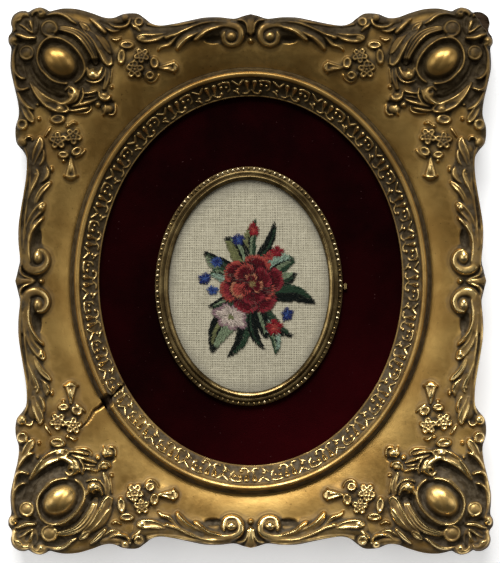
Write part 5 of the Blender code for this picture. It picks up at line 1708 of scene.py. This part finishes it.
# Leaves, from the lowest to the one on top. Columns: root x, y, tip x, y, half width, bend, then the
# shades of the two halves and of the edge on the second side
LEAVES = [
    (1.0, 8.0, 9.0, 24.0, 1.6, -1.4, "black", "forest", "black"),
    (-1.0, 8.0, 1.4, 25.2, 2.4, 1.2, "olive", "sage", "forest"),
    (-3.0, 7.0, -10.4, 18.4, 3.4, -1.6, "olive", "sage", "black"),
    (-6.0, 5.0, -18.6, 12.8, 2.8, 1.4, "sage", "forest", "black"),
    (-7.0, 1.0, -16.4, 4.6, 2.6, -1.0, "mint", "sage", "forest"),
    (-6.0, -4.0, -16.6, -8.6, 2.4, 1.2, "forest", "sage", "black"),
    (6.0, 5.0, 16.6, 9.8, 3.8, 0.8, "mint", "sage", "forest"),
    (7.0, 1.0, 17.2, 4.2, 2.8, -1.0, "sage", "forest", "black"),
    (7.0, -4.0, 24.6, -7.6, 3.0, 2.2, "forest", "black", "black"),
    (-4.0, -9.0, -15.6, -26.6, 4.4, -2.4, "sage", "olive", "black"),
    (-2.6, -10.0, -9.4, -28.4, 2.4, 2.6, "forest", "black", "black"),
    (-0.4, -10.0, 4.4, -25.2, 1.7, -1.6, "black", "forest", "black"),
    (2.6, -9.0, 5.4, -21.0, 3.2, 1.0, "mint", "sage", "black"),
    (4.0, -9.0, 15.8, -20.2, 2.2, -1.8, "forest", "black", "black"),
    (6.4, -14.0, 9.4, -27.4, 1.8, 1.2, "mint", "sage", "forest"),
]

# Small flowers and buds. Columns: x, y, half width, half height, turn, edge shade, middle shade
FLOWERS = [
    (-5.4, 17.4, 2.2, 2.1, 20, "navy", "blue"), (-13.8, 8.6, 2.2, 2.0, 0, "blue", "navy"),
    (-18.4, 2.2, 2.3, 2.0, 30, "navy", "blue"), (-15.4, -2.4, 2.0, 1.6, 0, "blue", "navy"),
    (13.8, -11.8, 2.4, 2.0, 60, "navy", "blue"),
    (0.6, 21.2, 1.8, 2.6, 10, "scarlet", "coral"), (9.8, 12.6, 2.3, 2.2, -20, "scarlet", "rose"),
    (6.6, 10.8, 1.9, 1.8, 0, "coral", "rose"), (8.8, -17.0, 3.0, 2.9, 15, "scarlet", "coral"),
]
print("petals:", len(PETALS), "leaves:", len(LEAVES), "flowers:", len(FLOWERS))


# %% Which shade lies at a point
def rose_shade(x, y):
    """Shade of the rose at a point, or None outside it. A petal throws a dark line on those below."""
    if in_oval(x, y, 0.1, 0.0, 1.3, 1.2) > 0:
        return "heart"
    highest = -1.0
    for degrees, distance, breadth, deep, rim, body in PETALS:
        cos, sin = heading(degrees)
        px = distance * cos
        py = distance * sin
        inside = in_oval(x, y, px, py, deep, breadth, degrees)
        if inside > 0:
            outward = (x - px) * cos + (y - py) * sin
            if highest > -0.17:
                return "deep"
            if inside < 0.32 and outward > -0.15 * deep:
                return rim
            return body if inside < 0.8 or outward > 0 else "deep"
        highest = max(highest, inside)
    return None


# A pale flower at the lower left. Its middle, half length, half width and turn
PALE_FLOWER = (-8.2, -12.8, 6.8, 4.5, -24)
PALE_HEART = (-8.0, -12.6)


def design_at(x, y):
    """Shade and direction in degrees of a stitch at a point of the spray, or None where linen shows."""
    found = rose_shade(x, y)
    if found:
        return found, math.degrees(math.atan2(y, x)) + 20
    depth = in_oval(x, y, *PALE_FLOWER)
    around = math.atan2(y - PALE_HEART[1], x - PALE_HEART[0])
    rippled = depth + 0.10 * math.sin(7 * around)
    if rippled > 0:
        shade = "olive" if depth > 0.78 else "blossom" if rippled > 0.2 else "mauve"
        return shade, math.degrees(around)
    for cx, cy, half_x, half_y, degrees, edge, middle in reversed(FLOWERS):
        depth = in_oval(x, y, cx, cy, half_x, half_y, degrees)
        ripple = 0.12 * math.sin(5 * math.atan2(y - cy, x - cx))
        if depth + ripple > 0:
            return (middle if depth > 0.5 else edge), math.degrees(math.atan2(y - cy, x - cx))
    for x0, y0, x1, y1, half, bend, first, second, edge in reversed(LEAVES):
        place = in_leaf(x, y, x0, y0, x1, y1, half, bend)
        if place:
            along, side = place
            slant = math.degrees(math.atan2(y1 - y0, x1 - x0)) + (32 if side > 0 else -32)
            if side < -0.5 or along > 0.87:
                return edge, slant + 25
            return ("black" if abs(side) < 0.1 else first if side > 0 else second), slant
    return None


STITCH_STEP = 0.52
STITCH_SCATTER = 0.1
SPRAY_REACH = 31.0
rng = np.random.default_rng(7)
stitches = []
steps = int(SPRAY_REACH / STITCH_STEP)
for row in range(-steps, steps + 1):
    for column in range(-steps, steps + 1):
        x = (column + 0.5 * (row % 2)) * STITCH_STEP + rng.uniform(-STITCH_SCATTER, STITCH_SCATTER)
        y = row * STITCH_STEP + rng.uniform(-STITCH_SCATTER, STITCH_SCATTER)
        found = design_at(x, y)
        if found:
            stitches.append((x + ROSE_MIDDLE[0], y + ROSE_MIDDLE[1], *found))
print("stitches:", len(stitches))

# %% One stitch
STITCH_LENGTH = 1.18
STITCH_THICK = 0.6
STITCH_FLAT = 0.8
STITCH_ARCH = 0.16
STITCH_LIFT = 0.24
deselect_all()
bpy.ops.mesh.primitive_cylinder_add(
    vertices=6, radius=0.5, depth=1.0, end_fill_type="TRIFAN", rotation=(0, math.pi / 2, 0))
stitch_source = bpy.context.object
bpy.ops.object.transform_apply(rotation=True)
stitch_points = np.array([tuple(v.co) for v in stitch_source.data.vertices])
stitch_faces = [tuple(p.vertices) for p in stitch_source.data.polygons]
bpy.data.objects.remove(stitch_source)
# the ends are drawn in to half their width, and their middles come forward to a blunt tip
end = np.abs(stitch_points[:, 0]) > 0.45
stitch_points[end, 1:] *= 0.5
tip = end & (np.hypot(stitch_points[:, 1], stitch_points[:, 2]) < 0.01)
stitch_points[tip, 0] *= 1.25
arch = STITCH_ARCH * (1 - (2 * stitch_points[:, 0]) ** 2)
print("faces of a stitch:", len(stitch_faces))

# %% Build the stitches
points = []
faces = []
colours = []
for index, (x, y, shade, slant) in enumerate(stitches):
    angle = math.radians(slant + rng.normal(0, 5))
    length = STITCH_LENGTH * rng.uniform(0.8, 1.15)
    body = stitch_points * (length, STITCH_THICK, STITCH_THICK * STITCH_FLAT)
    turned = np.column_stack([
        body[:, 0] * math.cos(angle) - body[:, 1] * math.sin(angle),
        body[:, 0] * math.sin(angle) + body[:, 1] * math.cos(angle),
        body[:, 2] + arch,
    ])
    base = LINEN_EDGE_HEIGHT + float(crown(x, y)) + STITCH_LIFT + rng.uniform(-0.07, 0.1)
    points.append(turned + (linen_centre[0] + x, linen_centre[1] + y, base))
    faces += [tuple(i + index * len(stitch_points) for i in face) for face in stitch_faces]
    tone = np.clip(np.array(SHADES[shade]) * rng.uniform(0.7, 1.3), 0.002, 1)
    colours.append(np.tile([*tone, 1.0], (len(stitch_points), 1)))
stitch_mesh = bpy.data.meshes.new("needlework_stitches")
stitch_mesh.from_pydata((np.vstack(points) * MM).tolist(), [], faces)
layer = stitch_mesh.color_attributes.new("thread", "FLOAT_COLOR", "POINT")
layer.data.foreach_set("color", np.vstack(colours).astype(np.float32).ravel())
stitch_mesh.shade_smooth()
print("faces of the needlework:", len(faces))

# %% Wool
WOOL_SHADOW = (0.004, 0.004, 0.004)
wool, tree, shader = new_material("needlework_wool")
fuzz = noise_value(tree, object_place(tree), 5200.0, 2.0)
colour = blend_colours(tree, times(tree, fuzz, 0.3), attribute(tree, "thread", "Color"), WOOL_SHADOW)
tree.links.new(colour, shader.inputs["Base Color"])
shader.inputs["Roughness"].default_value = 0.6
shader.inputs["Specular IOR Level"].default_value = 0.08
bump(tree, shader, fuzz, 0.00008)
needlework = place_piece("needlework_stitches", stitch_mesh, wool)

# %% [markdown]
# The floor is plain and pale. One large soft light stands beyond the top of the picture and rakes
# across it, which lights every slope that faces it and leaves the others dark, as in the photograph.
# Two weak lights at the sides, a faint one overhead and a dim room fill the shadows.

# %% Floor and light
deselect_all()
bpy.ops.mesh.primitive_plane_add(size=3.0, location=(0, 0, -0.0002))
floor = bpy.context.object
floor.name = "floor"
pale, tree, shader = new_material("pale_floor")
shader.inputs["Base Color"].default_value = (0.93, 0.93, 0.92, 1.0)
shader.inputs["Roughness"].default_value = 0.9
shader.inputs["Emission Color"].default_value = (1.0, 1.0, 1.0, 1.0)
shader.inputs["Emission Strength"].default_value = 0.45
floor.data.materials.append(pale)


def soft_light(name, place, aim, size, power):
    """A rectangular area light at a place, turned towards a point."""
    data = bpy.data.lights.new(name, "AREA")
    data.shape = "RECTANGLE"
    data.size, data.size_y = size
    data.energy = power
    light = bpy.data.objects.new(name, data)
    bpy.context.scene.collection.objects.link(light)
    light.location = place
    light.rotation_euler = (Vector(aim) - Vector(place)).to_track_quat("-Z", "Y").to_euler()


soft_light("key", (-0.15, 1.25, 1.0), (0, 0, 0), (1.1, 0.7), 34.0)
soft_light("overhead", (0.0, 0.0, 2.4), (0, 0, 0), (1.4, 1.4), 1.5)
soft_light("side_left", (-1.4, 0.2, 1.0), (0, 0, 0), (1.0, 1.4), 8.0)
soft_light("side_right", (1.4, 0.2, 1.0), (0, 0, 0), (1.0, 1.4), 6.5)
world = bpy.data.worlds.new("soft_room")
world.use_nodes = True
world.node_tree.nodes["Background"].inputs["Color"].default_value = (1.0, 0.97, 0.92, 1.0)
world.node_tree.nodes["Background"].inputs["Strength"].default_value = 0.06
bpy.context.scene.world = world
bpy.context.scene.view_settings.view_transform = "Standard"
